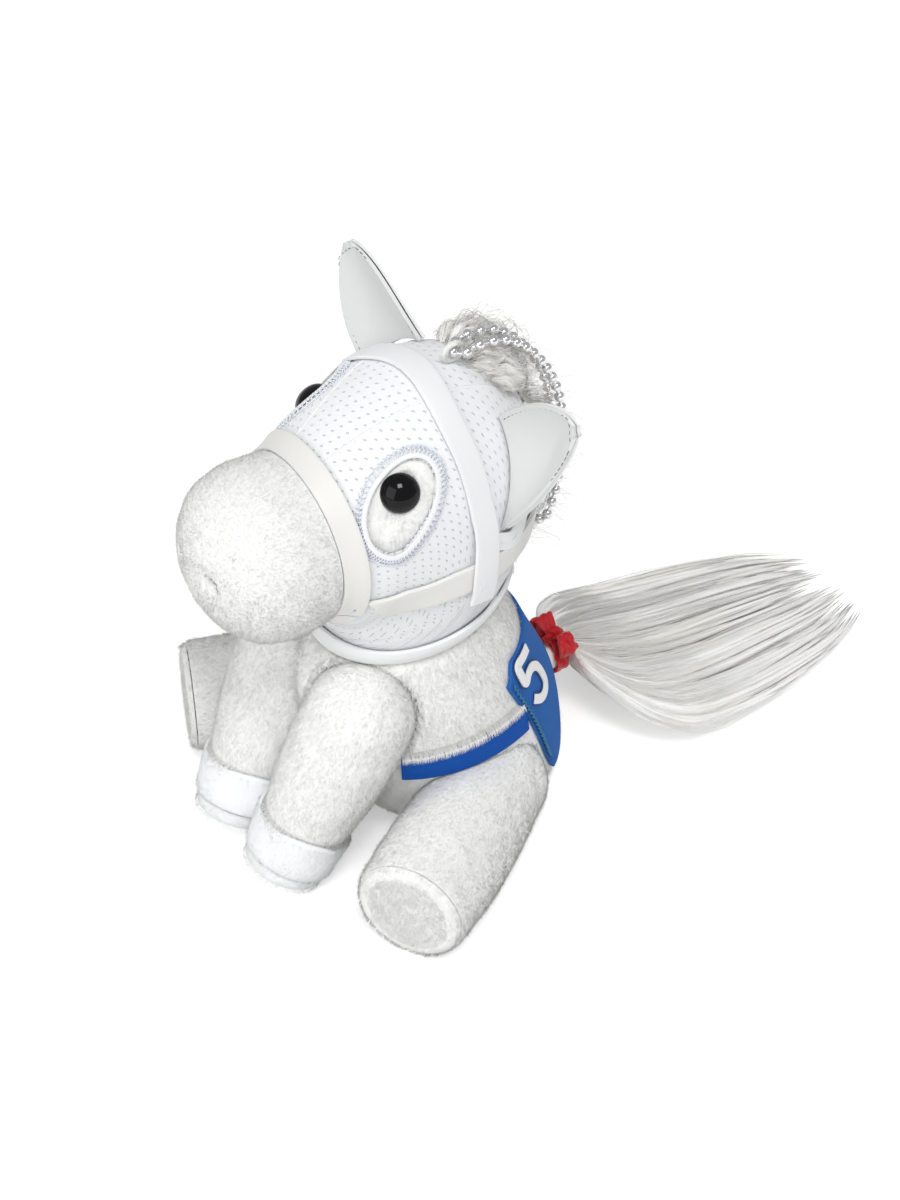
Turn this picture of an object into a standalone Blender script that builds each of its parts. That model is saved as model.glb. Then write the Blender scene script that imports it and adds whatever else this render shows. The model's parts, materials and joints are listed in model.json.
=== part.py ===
"""Plush racehorse, sitting, with a racing hood, number cloth and ball chain.

The horse faces -Y, its left side is +X and it sits on Z = 0. The origin is
the middle of the seat. The head is built in its own frame, whose origin is
the middle of the neck.
"""

import math

import bmesh
import bpy
from mathutils import Matrix, Vector

MM = 0.001
DEG = math.pi / 180.0

# Clearances and cloth thicknesses
GAP = 0.3 * MM
SKIN = 0.8 * MM
MESH_CLOTH = 0.8 * MM
STRAP_THICKNESS = 0.9 * MM
CUT_OVERRUN = 2.0 * MM

# Body: front, rear and half width of each level, as shares of the three sizes
BODY_LENGTH = 60.0 * MM
BODY_HEIGHT = 60.0 * MM
BODY_WIDTH = 53.0 * MM
BODY_STATION_SHARES = (
    (-0.630, 0.892, 0.160, 0.985, 0.392),
    (-0.683, 0.792, 0.210, 0.842, 0.435),
    (-0.692, 0.667, 0.275, 0.692, 0.478),
    (-0.663, 0.500, 0.358, 0.517, 0.500),
    (-0.608, 0.333, 0.408, 0.342, 0.510),
    (-0.525, 0.167, 0.433, 0.167, 0.500),
    (-0.425, 0.058, 0.417, 0.058, 0.456),
    (-0.317, 0.000, 0.358, 0.000, 0.370),
)

# Head: throat side, crown side and half width of each section
HEAD_LENGTH = 50.0 * MM
HEAD_HEIGHT = 60.0 * MM
HEAD_WIDTH = 48.0 * MM
NECK_FORWARD = 14.0 * MM
HEAD_STATION_SHARES = (
    (-0.525, 0.205, -0.590, 0.765, 0.362),
    (-0.455, 0.168, -0.500, 0.785, 0.382),
    (-0.430, 0.113, -0.240, 0.920, 0.450),
    (-0.410, 0.087, 0.050, 1.010, 0.482),
    (-0.400, 0.053, 0.380, 0.945, 0.500),
    (-0.396, 0.017, 0.570, 0.700, 0.498),
    (-0.392, -0.025, 0.565, 0.367, 0.456),
    (-0.390, -0.067, 0.430, 0.092, 0.392),
)
NECK_STATION = 7.0
SEARCH_START = (3.5, 80.0 * DEG)

# Muzzle: ring radius, place ahead of the face and drop, as shares of its radius
MUZZLE_RADIUS = 20.2 * MM
MUZZLE_STATION_SHARES = (
    (0.860, 0.00, -0.02),
    (0.965, 0.16, -0.02),
    (1.000, 0.40, -0.02),
    (0.920, 0.72, -0.02),
    (0.740, 0.95, -0.02),
    (0.500, 1.11, -0.02),
    (0.210, 1.20, -0.02),
)
NOSTRIL_RADIUS = 1.1 * MM
NOSTRIL_SPREAD = 6.2 * MM
NOSTRIL_LIFT = 3.0 * MM

# Eyes
EYE_RADIUS = 4.35 * MM
EYE_BULGE = 3.1 * MM
EYE_SHANK_RADIUS = 1.2 * MM
EYE_SHANK_LENGTH = 4.0 * MM
EYE_STATION = {1.0: 2.2, -1.0: 2.1}
EYE_ANGLE = {1.0: 57.0 * DEG, -1.0: 45.0 * DEG}
EYE_OPENING_STATION = 2.2
EYE_OPENING_DROP = 3.2 * MM
WASHER_RADIUS = 3.4 * MM
WASHER_THICKNESS = 0.8 * MM
EYE_OPENING_HEIGHT = 18.8 * MM
EYE_OPENING_LENGTH = {1.0: 18.2 * MM, -1.0: 17.2 * MM}
EYE_RIM_WIDTH = 1.6 * MM
EYE_RIM_THICKNESS = 0.6 * MM

# Straps on the hood
NOSEBAND_WIDTH = 6.2 * MM
NOSEBAND_STATION = 0.95
CHIN_STRAP_WIDTH = 5.4 * MM
CHIN_STRAP_ANGLE = 126.0 * DEG
CHEEK_STRAP_WIDTH = 6.8 * MM
CROWN_STRAP_WIDTH = 5.6 * MM
CROWN_STRAP_STATION = 3.0
CROWN_STRAP_FACES = 28
CROWN_STRAP_SHARES = {
    "left": ((0.045, 0.94), (0.06, 0.82), (0.08, 0.66), (0.09, 0.50), (0.08, 0.37), (0.07, 0.24)),
    "right": ((-0.005, 0.94), (0.025, 0.83), (0.06, 0.68), (0.09, 0.52), (0.08, 0.37),
              (0.07, 0.24)),
}
CHEEK_STRAP_SHARES = ((-0.335, 0.32), (-0.18, 0.335), (0.07, 0.355), (0.24, 0.37), (0.40, 0.385), (0.50, 0.43))
HEM_WIDTH = 4.6 * MM
HEM_THICKNESS = 1.0 * MM

# Ears
EAR_LENGTH = 25.0 * MM
EAR_THICKNESS = 0.8 * MM
EAR_CUP = 3.0 * MM
EAR_CLEARANCE = 0.75 * MM

# Mane, tuft and tail
TUFT_HEIGHT = 3.4 * MM
TUFT_RADIUS = 8.5 * MM
MANE_WIDTH = 21.0 * MM
MANE_THICKNESS = 6.0 * MM
TAIL_LENGTH = 88.0 * MM
TAIL_WIDTH = 58.0 * MM
TAIL_DEPTH = 9.0 * MM
TAIL_SIDE_SHARE = 0.03
TAIL_ROOT_RADIUS = 3.2 * MM
TAIL_ROOT_STRAIGHT = 1.2 * MM
TAIL_ROOT_HEIGHT = 19.5 * MM
BOW_LENGTH = 4.8 * MM
BOW_HEIGHT = 6.6 * MM
BOW_WIDTH = 5.5 * MM
BOW_THICKNESS = 0.6 * MM

# Ball chain
BALL_RADIUS = 1.2 * MM
BALL_PITCH = 3.3 * MM
CHAIN_WIRE_RADIUS = 0.45 * MM
CHAIN_STRAND_SPREAD = 2.3 * MM
CHAIN_LOOP_RADIUS = 2.3 * MM
CHAIN_LOOP_CORD = 0.65 * MM
CHAIN_TOP_STATION = 3.45
CHAIN_BEND_STATION = 5.35
CHAIN_END_STATION = 6.35
CHAIN_ANGLE = 9.0 * DEG
CONNECTOR_RADIUS = 1.5 * MM
CONNECTOR_LENGTH = 5.0 * MM

# Number cloth, girth and numerals
CLOTH_THICKNESS = 0.9 * MM
GIRTH_WIDTH = 7.2 * MM
GIRTH_SIDE_STATION = 3.98
GIRTH_CHEST_STATION = 4.12
GIRTH_END_ANGLE = 129.0 * DEG
NUMERAL_HEIGHT = 15.0 * MM
NUMERAL_WIDTH = 7.8 * MM
NUMERAL_STROKE = 2.2 * MM
NUMERAL_THICKNESS = 0.4 * MM
STITCH_RADIUS = 0.25 * MM

# Front legs
FRONT_LEG_RADIUS = 12.5 * MM
SHOULDER_SHARES = (0.272, -0.583, 0.725)
FRONT_FOOT_FORWARD = 55.4 * MM
FRONT_FOOT_SPREAD = 10.9 * MM
FRONT_FOOT_HEIGHT = 3.9 * MM
BAND_HEIGHT = 10.0 * MM
BAND_THICKNESS = 1.0 * MM
HOOF_HEIGHT = 3.8 * MM

# Hind legs
HIND_LEG_RADIUS = 14.0 * MM
HIP_SHARES = (0.445, -0.055)
HIND_LEG_LENGTH = {"left": 47.0 * MM, "right": 50.0 * MM}
HIND_LEG_SPLAY = {"left": 30.0 * DEG, "right": 23.5 * DEG}
FLAT_DEPTH = 1.0 * MM
SOLE_THICKNESS = 1.2 * MM

# Swing of the sewn legs, and their clearance in the body
FRONT_SWING = 10.0 * DEG
HIND_SWING = 6.0 * DEG
LEG_CLEARANCE = 0.7 * MM

RING_SIDES = 18
WELD = 0.001 * MM
UNIT_HALF_SHARE = 0.5
FULL = 2.0 * math.pi
HALF = math.pi
QUARTER = math.pi / 2.0

# Heights of the layers over the head and the body
HOOD_IN = 2.6 * GAP
HOOD_OUT = HOOD_IN + MESH_CLOTH
STRAP_IN = HOOD_OUT + 1.3 * GAP
STRAP_OUT = STRAP_IN + STRAP_THICKNESS
MANE_IN = HOOD_OUT + GAP
MANE_OUT = MANE_IN + MANE_THICKNESS
CHAIN_OUT = MANE_OUT + BALL_RADIUS + GAP
CLOTH_IN = GAP
CLOTH_OUT = CLOTH_IN + CLOTH_THICKNESS

FRONT_LEG_PATH_SHARES = (
    (0.00, 0.00), (0.18, 0.19), (0.38, 0.39), (0.59, 0.59), (0.80, 0.80), (1.00, 1.00))
FRONT_LEG_RADIUS_SHARES = ((1.00,), (1.00,), (0.96,), (0.86,), (0.76,), (0.73,))
HIND_LEG_RADIUS_SHARES = ((0.84,), (0.96,), (1.00,), (0.925,))
TAIL_STATION_SHARES = (
    (0.00, 1.00, 0.10, 0.28),
    (0.04, 0.80, 0.28, 0.48),
    (0.11, 0.56, 0.44, 0.60),
    (0.22, 0.38, 0.53, 0.60),
    (0.38, 0.27, 0.52, 0.52),
    (0.60, 0.20, 0.47, 0.42),
    (0.82, 0.15, 0.38, 0.28),
    (1.00, 0.11, 0.22, 0.18),
)
NUMERAL_PATH_SHARES = (
    (0.46, 0.46), (0.05, 0.46), (-0.32, 0.46), (-0.42, 0.40), (-0.44, 0.24),
    (-0.44, 0.09), (-0.35, 0.05), (-0.10, 0.12), (0.18, 0.11), (0.40, 0.00),
    (0.46, -0.18), (0.38, -0.37), (0.12, -0.47), (-0.18, -0.46), (-0.44, -0.34))
EAR_BASE_SHARES = {
    "left": ((0.290, 0.860), (0.190, 0.500)),
    "right": ((0.200, 0.985), (0.112, 0.768)),
}
EAR_TIP_SHARES = {"left": (0.66, 0.28, 0.72), "right": (0.66, -0.06, 0.83)}
CLOTH_ANGLE = 67.0 * DEG
CLOTH_LOW_ANGLE = 62.0 * DEG
CLOTH_TOP_STATION = 2.45
CLOTH_NOTCH_SHARE = 0.2
CLOTH_BACK_STATION = 4.15
CLOTH_TIP_STATION = 6.2
CLOTH_TIP_ANGLE = 61.0 * DEG
NUMERAL_STATION = 3.27
NUMERAL_ANGLE = 50.5 * DEG


def blend(rows, place):
    """Return the row of values at a place along a smooth curve through rows."""
    last = len(rows) - 1
    place = min(max(place, 0.0), float(last))
    first = min(int(place), last - 1)
    t = place - first
    picks = (rows[max(0, first - 1)], rows[first], rows[first + 1], rows[min(last, first + 2)])
    return [
        0.5 * (2.0 * b + (c - a) * t + (2.0 * a - 5.0 * b + 4.0 * c - d) * t * t
               + (3.0 * b - a - 3.0 * c + d) * t ** 3)
        for a, b, c, d in zip(*picks)
    ]


def head_section(t):
    """Return centre, crown-ward half axis and half width of the head's section t."""
    iy, iz, oy, oz, half = blend(HEAD_STATION_SHARES, t)
    inner = Vector((0.0, iy * HEAD_LENGTH, iz * HEAD_HEIGHT))
    outer = Vector((0.0, oy * HEAD_LENGTH, oz * HEAD_HEIGHT))
    return (inner + outer) / 2.0, (outer - inner) / 2.0, half * HEAD_WIDTH


def neck_centre():
    """Return the middle of the neck in the body's frame."""
    return Vector((0.0, -NECK_FORWARD, BODY_HEIGHT))


def body_rows():
    """Return front Y, Z, rear Y, Z and half width of each body level."""
    centre, up, half = head_section(NECK_STATION)
    front, rear, neck = centre - up, centre + up, neck_centre()
    drop = neck.z - 1.2 * GAP
    rows = [(neck.y + front.y, drop + front.z, neck.y + rear.y, drop + rear.z, half)]
    for fy, fz, ry, rz, wide in BODY_STATION_SHARES:
        rows.append((fy * BODY_LENGTH, fz * BODY_HEIGHT, ry * BODY_LENGTH, rz * BODY_HEIGHT,
                     wide * BODY_WIDTH))
    return rows


BODY_ROWS = body_rows()
SEAT_STATION = float(len(BODY_ROWS) - 1)


def head_base(t, angle):
    """Return the head's surface point at section t; angle 0 is the crown, 90 the left."""
    centre, up, half = head_section(t)
    return centre + up * math.cos(angle) + Vector((half * math.sin(angle), 0.0, 0.0))


def body_base(s, angle):
    """Return the body's surface point at level s; angle 0 is the spine, 90 the left."""
    fy, fz, ry, rz, half = blend(BODY_ROWS, s)
    front, rear = Vector((0.0, fy, fz)), Vector((0.0, ry, rz))
    centre = (front + rear) / 2.0
    point = centre + (rear - front) / 2.0 * math.cos(angle)
    return point + Vector((half * math.sin(angle), 0.0, 0.0))


def surface(base, centre_of, t, angle, out):
    """Return the point out from a base surface, and the surface's outward normal."""
    step = 0.02
    point = base(t, angle)
    along = base(t + step, angle) - base(t - step, angle)
    around = base(t, angle + step) - base(t, angle - step)
    normal = along.cross(around).normalized()
    if normal.dot(point - centre_of(t)) < 0.0:
        normal.negate()
    return point + normal * out, normal


def head_at(t, angle, out=0.0):
    """Return head surface point and normal, in the head's frame."""
    return surface(head_base, lambda q: head_section(q)[0], t, angle, out)


def head_find(y, z, sign, start=SEARCH_START):
    """Return section and angle of the head's side point that lies at y and z."""
    t, angle = start
    step = 0.001
    for _ in range(30):
        here = head_base(t, angle)
        by_t = (head_base(t + step, angle) - here) / step
        by_angle = (head_base(t, angle + step) - here) / step
        dy, dz = y - here.y, z - here.z
        scale = by_t.y * by_angle.z - by_t.z * by_angle.y
        t += max(-0.4, min(0.4, (dy * by_angle.z - dz * by_angle.y) / scale))
        angle += max(-0.3, min(0.3, (by_t.y * dz - by_t.z * dy) / scale))
    return t, sign * angle


def head_line(shares, sign):
    """Return a path on the head's side through points given as shares of its size."""
    found = []
    start = SEARCH_START
    for y, z in shares:
        t, angle = head_find(y * HEAD_LENGTH, z * HEAD_HEIGHT, 1.0, start)
        start = (t, angle)
        found.append((t, sign * angle, 0.0))

    def path(u):
        return tuple(blend(found, u * (len(found) - 1)))
    return path


def body_at(s, angle, out=0.0):
    """Return body surface point and normal."""
    def centre_of(q):
        fy, fz, ry, rz, _ = blend(BODY_ROWS, q)
        return Vector((0.0, (fy + ry) / 2.0, (fz + rz) / 2.0))
    return surface(body_base, centre_of, s, angle, out)


def clear_scene():
    """Remove every object, mesh and curve that the scene starts with."""
    for item in list(bpy.data.objects):
        bpy.data.objects.remove(item, do_unlink=True)
    for store in (bpy.data.meshes, bpy.data.curves, bpy.data.materials):
        for item in list(store):
            store.remove(item)


def collection(name):
    """Return a new collection linked to the scene."""
    made = bpy.data.collections.new(name)
    bpy.context.scene.collection.children.link(made)
    return made


def material(name, colour, roughness, metallic=0.0):
    """Return a Principled material."""
    made = bpy.data.materials.new(name)
    made.use_nodes = True
    node = made.node_tree.nodes["Principled BSDF"]
    node.inputs["Base Color"].default_value = (*colour, 1.0)
    node.inputs["Roughness"].default_value = roughness
    node.inputs["Metallic"].default_value = metallic
    made.diffuse_color = (*colour, 1.0)
    return made


class Builder:
    """Makes the named objects and puts them in their collections."""

    def __init__(self):
        self.parts = collection("plush_horse")
        self.cutters = collection("plush_horse_cutters")
        self.materials = {}

    def paint(self, obj, look):
        """Give an object its own material."""
        name = obj.name + "_material"
        obj.data.materials.append(material(name, *LOOKS[look]))

    def empty(self, name, location, rotation=None, parent=None):
        """Return an empty that carries or turns other objects."""
        made = bpy.data.objects.new(name, None)
        made.empty_display_size = CUT_OVERRUN
        self.parts.objects.link(made)
        if parent:
            made.parent = parent
            made.matrix_parent_inverse = self.hanging(parent)
        made.matrix_basis = Matrix.Translation(location) @ (
            rotation.to_4x4() if rotation else Matrix.Identity(4))
        return made

    def adopt(self, obj, look, parent=None, smooth=True):
        """Link an object, give it its material and hang it under a parent."""
        self.parts.objects.link(obj)
        if look:
            self.paint(obj, look)
        if smooth and obj.type == "MESH":
            obj.data.shade_smooth()
        if parent:
            obj.parent = parent
            obj.matrix_parent_inverse = self.hanging(parent)
        return obj

    def rest(self, empty):
        """Return an empty's world matrix, worked out from its parents."""
        own = empty.matrix_basis.copy()
        if empty.parent:
            return self.rest(empty.parent) @ empty.matrix_parent_inverse @ own
        return own

    def hanging(self, parent):
        """Return the parent inverse that leaves a child in the head's or the world's frame."""
        root = parent
        while root.parent:
            root = root.parent
        frame = self.rest(root) if root.name == "head" else Matrix.Identity(4)
        return self.rest(parent).inverted() @ frame

    def patch(self, name, place, columns, rows, thickness, look, parent=None, closed=False):
        """Return a thin solid: a grid laid by place(u, v), thickened outward."""
        mesh = bpy.data.meshes.new(name)
        bm = bmesh.new()
        bmesh.ops.create_grid(bm, x_segments=columns, y_segments=rows, size=UNIT_HALF_SHARE)
        bm.faces.ensure_lookup_table()
        probe = bm.faces[len(bm.faces) // 2]
        u, v = (probe.calc_center_median().x + UNIT_HALF_SHARE,
                probe.calc_center_median().y + UNIT_HALF_SHARE)
        outward = place(u, v)[1]
        for vert in bm.verts:
            vert.co = place(vert.co.x + UNIT_HALF_SHARE, vert.co.y + UNIT_HALF_SHARE)[0]
        bm.normal_update()
        if probe.normal.dot(outward) < 0.0:
            bmesh.ops.reverse_faces(bm, faces=bm.faces)
        if closed:
            bmesh.ops.remove_doubles(bm, verts=bm.verts, dist=WELD)
        bm.to_mesh(mesh)
        bm.free()
        obj = self.adopt(bpy.data.objects.new(name, mesh), look, parent)
        solid = obj.modifiers.new("Thickness", "SOLIDIFY")
        solid.thickness = thickness
        solid.offset = 1.0
        return obj

    def loft(self, name, rings, look, parent=None, wall=None, open_end=False, cutter=False):
        """Return a solid, or an open shell with a wall, through rings of points."""
        mesh = bpy.data.meshes.new(name)
        bm = bmesh.new()
        loops = [[bm.verts.new(point) for point in ring] for ring in rings]
        for low, high in zip(loops, loops[1:]):
            count = max(len(low), len(high))
            for index in range(count):
                after = (index + 1) % count
                if len(low) == 1:
                    bm.faces.new((low[0], high[after], high[index]))
                elif len(high) == 1:
                    bm.faces.new((low[index], low[after], high[0]))
                else:
                    bm.faces.new((low[index], low[after], high[after], high[index]))
        if len(loops[0]) > 1:
            bm.faces.new(loops[0])
        if len(loops[-1]) > 1 and not open_end:
            bm.faces.new(loops[-1])
        bmesh.ops.recalc_face_normals(bm, faces=bm.faces)
        bm.to_mesh(mesh)
        bm.free()
        obj = bpy.data.objects.new(name, mesh)
        if cutter:
            return self.as_cutter(obj, parent)
        self.adopt(obj, look, parent)
        if wall:
            solid = obj.modifiers.new("Wall", "SOLIDIFY")
            solid.thickness = wall
            solid.offset = -1.0
        return obj

    def turned(self, name, profile, steps, frame, look, parent=None, cutter=False):
        """Return a profile of (radius, height) points turned about the frame's Z."""
        mesh = bpy.data.meshes.new(name)
        points = [(radius, 0.0, height) for radius, height in profile]
        mesh.from_pydata(points, [(i, i + 1) for i in range(len(points) - 1)], [])
        obj = bpy.data.objects.new(name, mesh)
        screw = obj.modifiers.new("Turn", "SCREW")
        screw.steps = steps
        screw.render_steps = steps
        screw.use_merge_vertices = True
        screw.merge_threshold = WELD
        if cutter:
            self.as_cutter(obj, parent)
        else:
            self.adopt(obj, look, parent)
        obj.matrix_basis = frame
        return obj

    def tube(self, name, points, radius, look, parent=None, cyclic=False, radii=None,
             resolution=2):
        """Return a round tube along points, with a radius of its own at each if given."""
        data = bpy.data.curves.new(name, "CURVE")
        data.dimensions = "3D"
        data.bevel_depth = radius
        data.bevel_resolution = resolution
        data.use_fill_caps = not cyclic
        spline = data.splines.new("POLY")
        spline.points.add(len(points) - 1)
        for index, point in enumerate(points):
            spline.points[index].co = (*point, 1.0)
            spline.points[index].radius = radii[index] / radius if radii else 1.0
        spline.use_cyclic_u = cyclic
        return self.adopt(bpy.data.objects.new(name, data), look, parent)

    def as_cutter(self, obj, parent=None):
        """Put an object among the cutters."""
        self.cutters.objects.link(obj)
        obj.hide_render = True
        obj.display_type = "WIRE"
        if parent:
            obj.parent = parent
        return obj

    @staticmethod
    def cut(target, cutter):
        """Cut a cutter out of a target."""
        step = target.modifiers.new("Cut", "BOOLEAN")
        step.operation = "DIFFERENCE"
        step.solver = "EXACT"
        step.object = cutter


LOOKS = {
    "plush": ((0.83, 0.82, 0.76), 0.95),
    "stuffing": ((0.92, 0.92, 0.90), 1.0),
    "muzzle": ((0.78, 0.79, 0.73), 0.95),
    "mesh": ((0.80, 0.82, 0.84), 0.80),
    "white_leather": ((0.84, 0.84, 0.82), 0.45),
    "cream_leather": ((0.78, 0.76, 0.68), 0.50),
    "grey_leather": ((0.52, 0.52, 0.53), 0.55),
    "eye": ((0.01, 0.01, 0.012), 0.08),
    "washer": ((0.85, 0.85, 0.85), 0.5),
    "hair": ((0.86, 0.85, 0.80), 0.85),
    "cloth": ((0.06, 0.20, 0.52), 0.80),
    "girth": ((0.01, 0.10, 0.40), 0.75),
    "numeral": ((0.90, 0.90, 0.90), 0.6),
    "thread": ((0.10, 0.35, 0.50), 0.7),
    "satin": ((0.60, 0.03, 0.05), 0.25),
    "steel": ((0.75, 0.75, 0.77), 0.22, 1.0),
    "felt": ((0.72, 0.73, 0.70), 0.95),
    "hoof": ((0.55, 0.56, 0.54), 0.7),
}

def mix(low, high, share):
    """Return the value a share of the way from low to high."""
    return low + (high - low) * share


def smooth(value):
    """Return the smooth step of a value held between 0 and 1."""
    value = min(max(value, 0.0), 1.0)
    return value * value * (3.0 - 2.0 * value)


def strip(at, base, path, half_width, out):
    """Return place(u, v) for a strip on a surface along path(u) -> (t, angle, lift)."""
    def place(u, v):
        step = 0.004
        t, angle, lift = path(u)
        before, after = path(u - step), path(u + step)
        ahead = base(after[0], after[1]) - base(before[0], before[1])
        small = 0.01
        per_t = (base(t + small, angle) - base(t - small, angle)) / (2.0 * small)
        per_angle = (base(t, angle + small) - base(t, angle - small)) / (2.0 * small)
        normal = per_t.cross(per_angle).normalized()
        across = normal.cross(ahead).normalized() * half_width * (2.0 * v - 1.0)
        tt, aa, ta = per_t.dot(per_t), per_angle.dot(per_angle), per_t.dot(per_angle)
        scale = tt * aa - ta * ta
        one, two = across.dot(per_t), across.dot(per_angle)
        return at(t + (one * aa - two * ta) / scale, angle + (two * tt - one * ta) / scale,
                  out + lift)
    return place


def make_torso(build):
    """Make the body's skin and stuffing."""
    levels = [0.0, 0.7, 1.4, 2.2, 3.0, 4.0, 5.0, 6.0, 7.0, SEAT_STATION]
    sides = RING_SIDES

    def rings(out):
        return [[body_at(s, FULL * i / sides, out)[0] for i in range(sides)] for s in levels]

    skin = build.loft("torso_skin", rings(0.0)[::-1], "plush", wall=SKIN, open_end=True)
    inner = rings(-SKIN - GAP)
    lift = SKIN + GAP
    inner[-1] = [Vector((p.x, p.y, p.z + lift)) for p in inner[-1]]
    inner = inner[:-2] + [inner[-1]]
    stuffing = build.loft("torso_stuffing", inner, "stuffing")
    return skin, stuffing


def make_head(build, head):
    """Make the head's skin and stuffing and the muzzle."""
    levels = [0.0, 0.6, 1.3, 2.0, 2.6, 3.2, 3.8, 4.4, 5.1, 6.0, NECK_STATION]
    sides = RING_SIDES
    skin = build.loft(
        "head_skin",
        [[head_at(t, FULL * i / sides)[0] for i in range(sides)] for t in levels],
        "plush", head, wall=SKIN, open_end=True)
    inset = -SKIN - GAP
    face = (head_base(0.5, 0.0) - head_base(0.0, 0.0)).length
    start = (SKIN + GAP) / face * 0.5
    inner = [start] + levels[1:]
    stuffing = build.loft(
        "head_stuffing",
        [[head_at(t, FULL * i / sides, inset)[0] for i in range(sides)] for t in inner],
        "stuffing", head)
    return skin, stuffing


def muzzle_frame():
    """Return the centre of the face, the way it looks and the way up along it."""
    centre, up, _ = head_section(0.0)
    rise = up.normalized()
    ahead = Vector((1.0, 0.0, 0.0)).cross(rise)
    if ahead.y > 0.0:
        ahead.negate()
    return centre, ahead, rise


def make_muzzle(build, head):
    """Make the short-pile muzzle with its two nostril dimples."""
    centre, ahead, rise = muzzle_frame()
    side = Vector((1.0, 0.0, 0.0))
    rings = []
    for radius, forward, drop in MUZZLE_STATION_SHARES:
        middle = centre + ahead * (GAP + forward * MUZZLE_RADIUS) + rise * drop * MUZZLE_RADIUS
        rings.append([
            middle + (rise * math.cos(FULL * i / RING_SIDES) + side * math.sin(FULL * i / RING_SIDES))
            * radius * MUZZLE_RADIUS for i in range(RING_SIDES)])
    muzzle = build.loft("muzzle", rings, "muzzle", head)
    reach = MUZZLE_STATION_SHARES[-1][1] * MUZZLE_RADIUS
    for sign in (1.0, -1.0):
        place = centre + ahead * (reach - NOSTRIL_RADIUS) + rise * NOSTRIL_LIFT
        place += side * sign * NOSTRIL_SPREAD
        steps = 4
        profile = [(NOSTRIL_RADIUS * math.sin(HALF * k / steps),
                    NOSTRIL_RADIUS * math.cos(HALF * k / steps)) for k in range(steps + 1)]
        profile[0], profile[-1] = (0.0, NOSTRIL_RADIUS), (0.0, -NOSTRIL_RADIUS)
        frame = Matrix.Translation(place)
        cutter = build.turned(f"nostril_cutter_{'left' if sign > 0 else 'right'}", profile, 8,
                              frame, None, head, cutter=True)
        build.cut(muzzle, cutter)
    return muzzle


def frame_on(point, normal):
    """Return a frame at a point whose Z runs along the normal."""
    return Matrix.Translation(point) @ normal.to_track_quat("Z", "Y").to_matrix().to_4x4()


def make_eyes(build, head, skin, stuffing, hood):
    """Make the safety eyes, their washers and the holes that they sit in."""
    for side, sign in (("left", 1.0), ("right", -1.0)):
        point, normal = head_at(EYE_STATION[sign], sign * EYE_ANGLE[sign])
        frame = frame_on(point, normal)
        steps = 5
        dome = [(EYE_RADIUS * math.sin(QUARTER * k / steps),
                 GAP + EYE_BULGE * math.cos(QUARTER * k / steps)) for k in range(steps + 1)]
        dome[0] = (0.0, GAP + EYE_BULGE)
        foot = -EYE_SHANK_LENGTH
        profile = dome + [(EYE_SHANK_RADIUS, GAP), (EYE_SHANK_RADIUS, foot), (0.0, foot)]
        build.turned(f"eye_{side}", profile, 14, frame, "eye", head)
        top = -SKIN - 3.0 * GAP
        low = top - WASHER_THICKNESS
        bore = EYE_SHANK_RADIUS + GAP
        ring = [(bore, top), (WASHER_RADIUS, top), (WASHER_RADIUS, low), (bore, low), (bore, top)]
        build.turned(f"eye_washer_{side}", ring, 12, frame, "washer", head)
        hole = [(0.0, CUT_OVERRUN), (bore, CUT_OVERRUN), (bore, foot), (0.0, foot)]
        build.cut(skin, build.turned(f"shank_cutter_{side}", hole, 12, frame, None, head, True))
        wide, deep = WASHER_RADIUS + GAP, low - GAP
        pocket = [(0.0, CUT_OVERRUN), (wide, CUT_OVERRUN), (wide, deep), (bore, deep),
                  (bore, foot - GAP), (0.0, foot - GAP)]
        build.cut(stuffing, build.turned(f"washer_cutter_{side}", pocket, 12, frame, None, head,
                                         True))
        opening = eye_opening(sign)
        rings = [[head_at(*opening(i / 20.0)[:2], out)[0] for i in range(20)]
                 for out in (-HOOD_IN - CUT_OVERRUN, HOOD_OUT + CUT_OVERRUN)]
        cutter = build.loft(f"opening_cutter_{side}", rings, None, head, cutter=True)
        build.cut(hood[side], cutter)
        rim = strip(head_at, head_base, opening, EYE_RIM_WIDTH / 2.0, HOOD_OUT + GAP)
        build.patch(f"hood_eye_rim_{side}", rim, 24, 1, EYE_RIM_THICKNESS, "white_leather", head,
                    closed=True)


def eye_opening(sign):
    """Return the outline of a hood opening as a path of places on the head."""
    station, angle = EYE_OPENING_STATION, sign * EYE_ANGLE[sign]
    along = head_base(station + 0.1, angle) - head_base(station - 0.1, angle)
    around = head_base(station, angle + 0.1) - head_base(station, angle - 0.1)
    per_station, per_radian = along.length / 0.2, around.length / 0.2

    def path(u):
        turn = FULL * u
        dt = math.cos(turn) * EYE_OPENING_LENGTH[sign] / 2.0 / per_station
        da = (math.sin(turn) * EYE_OPENING_HEIGHT / 2.0 + EYE_OPENING_DROP) / per_radian
        return station + dt, sign * (EYE_ANGLE[sign] + da), 0.0
    return path


def seam_angle(t):
    """Return the angle of the seam beside the hood's middle panel."""
    return mix(16.0 * DEG, 24.0 * DEG, smooth((t - 1.0) / 2.0))


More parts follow.
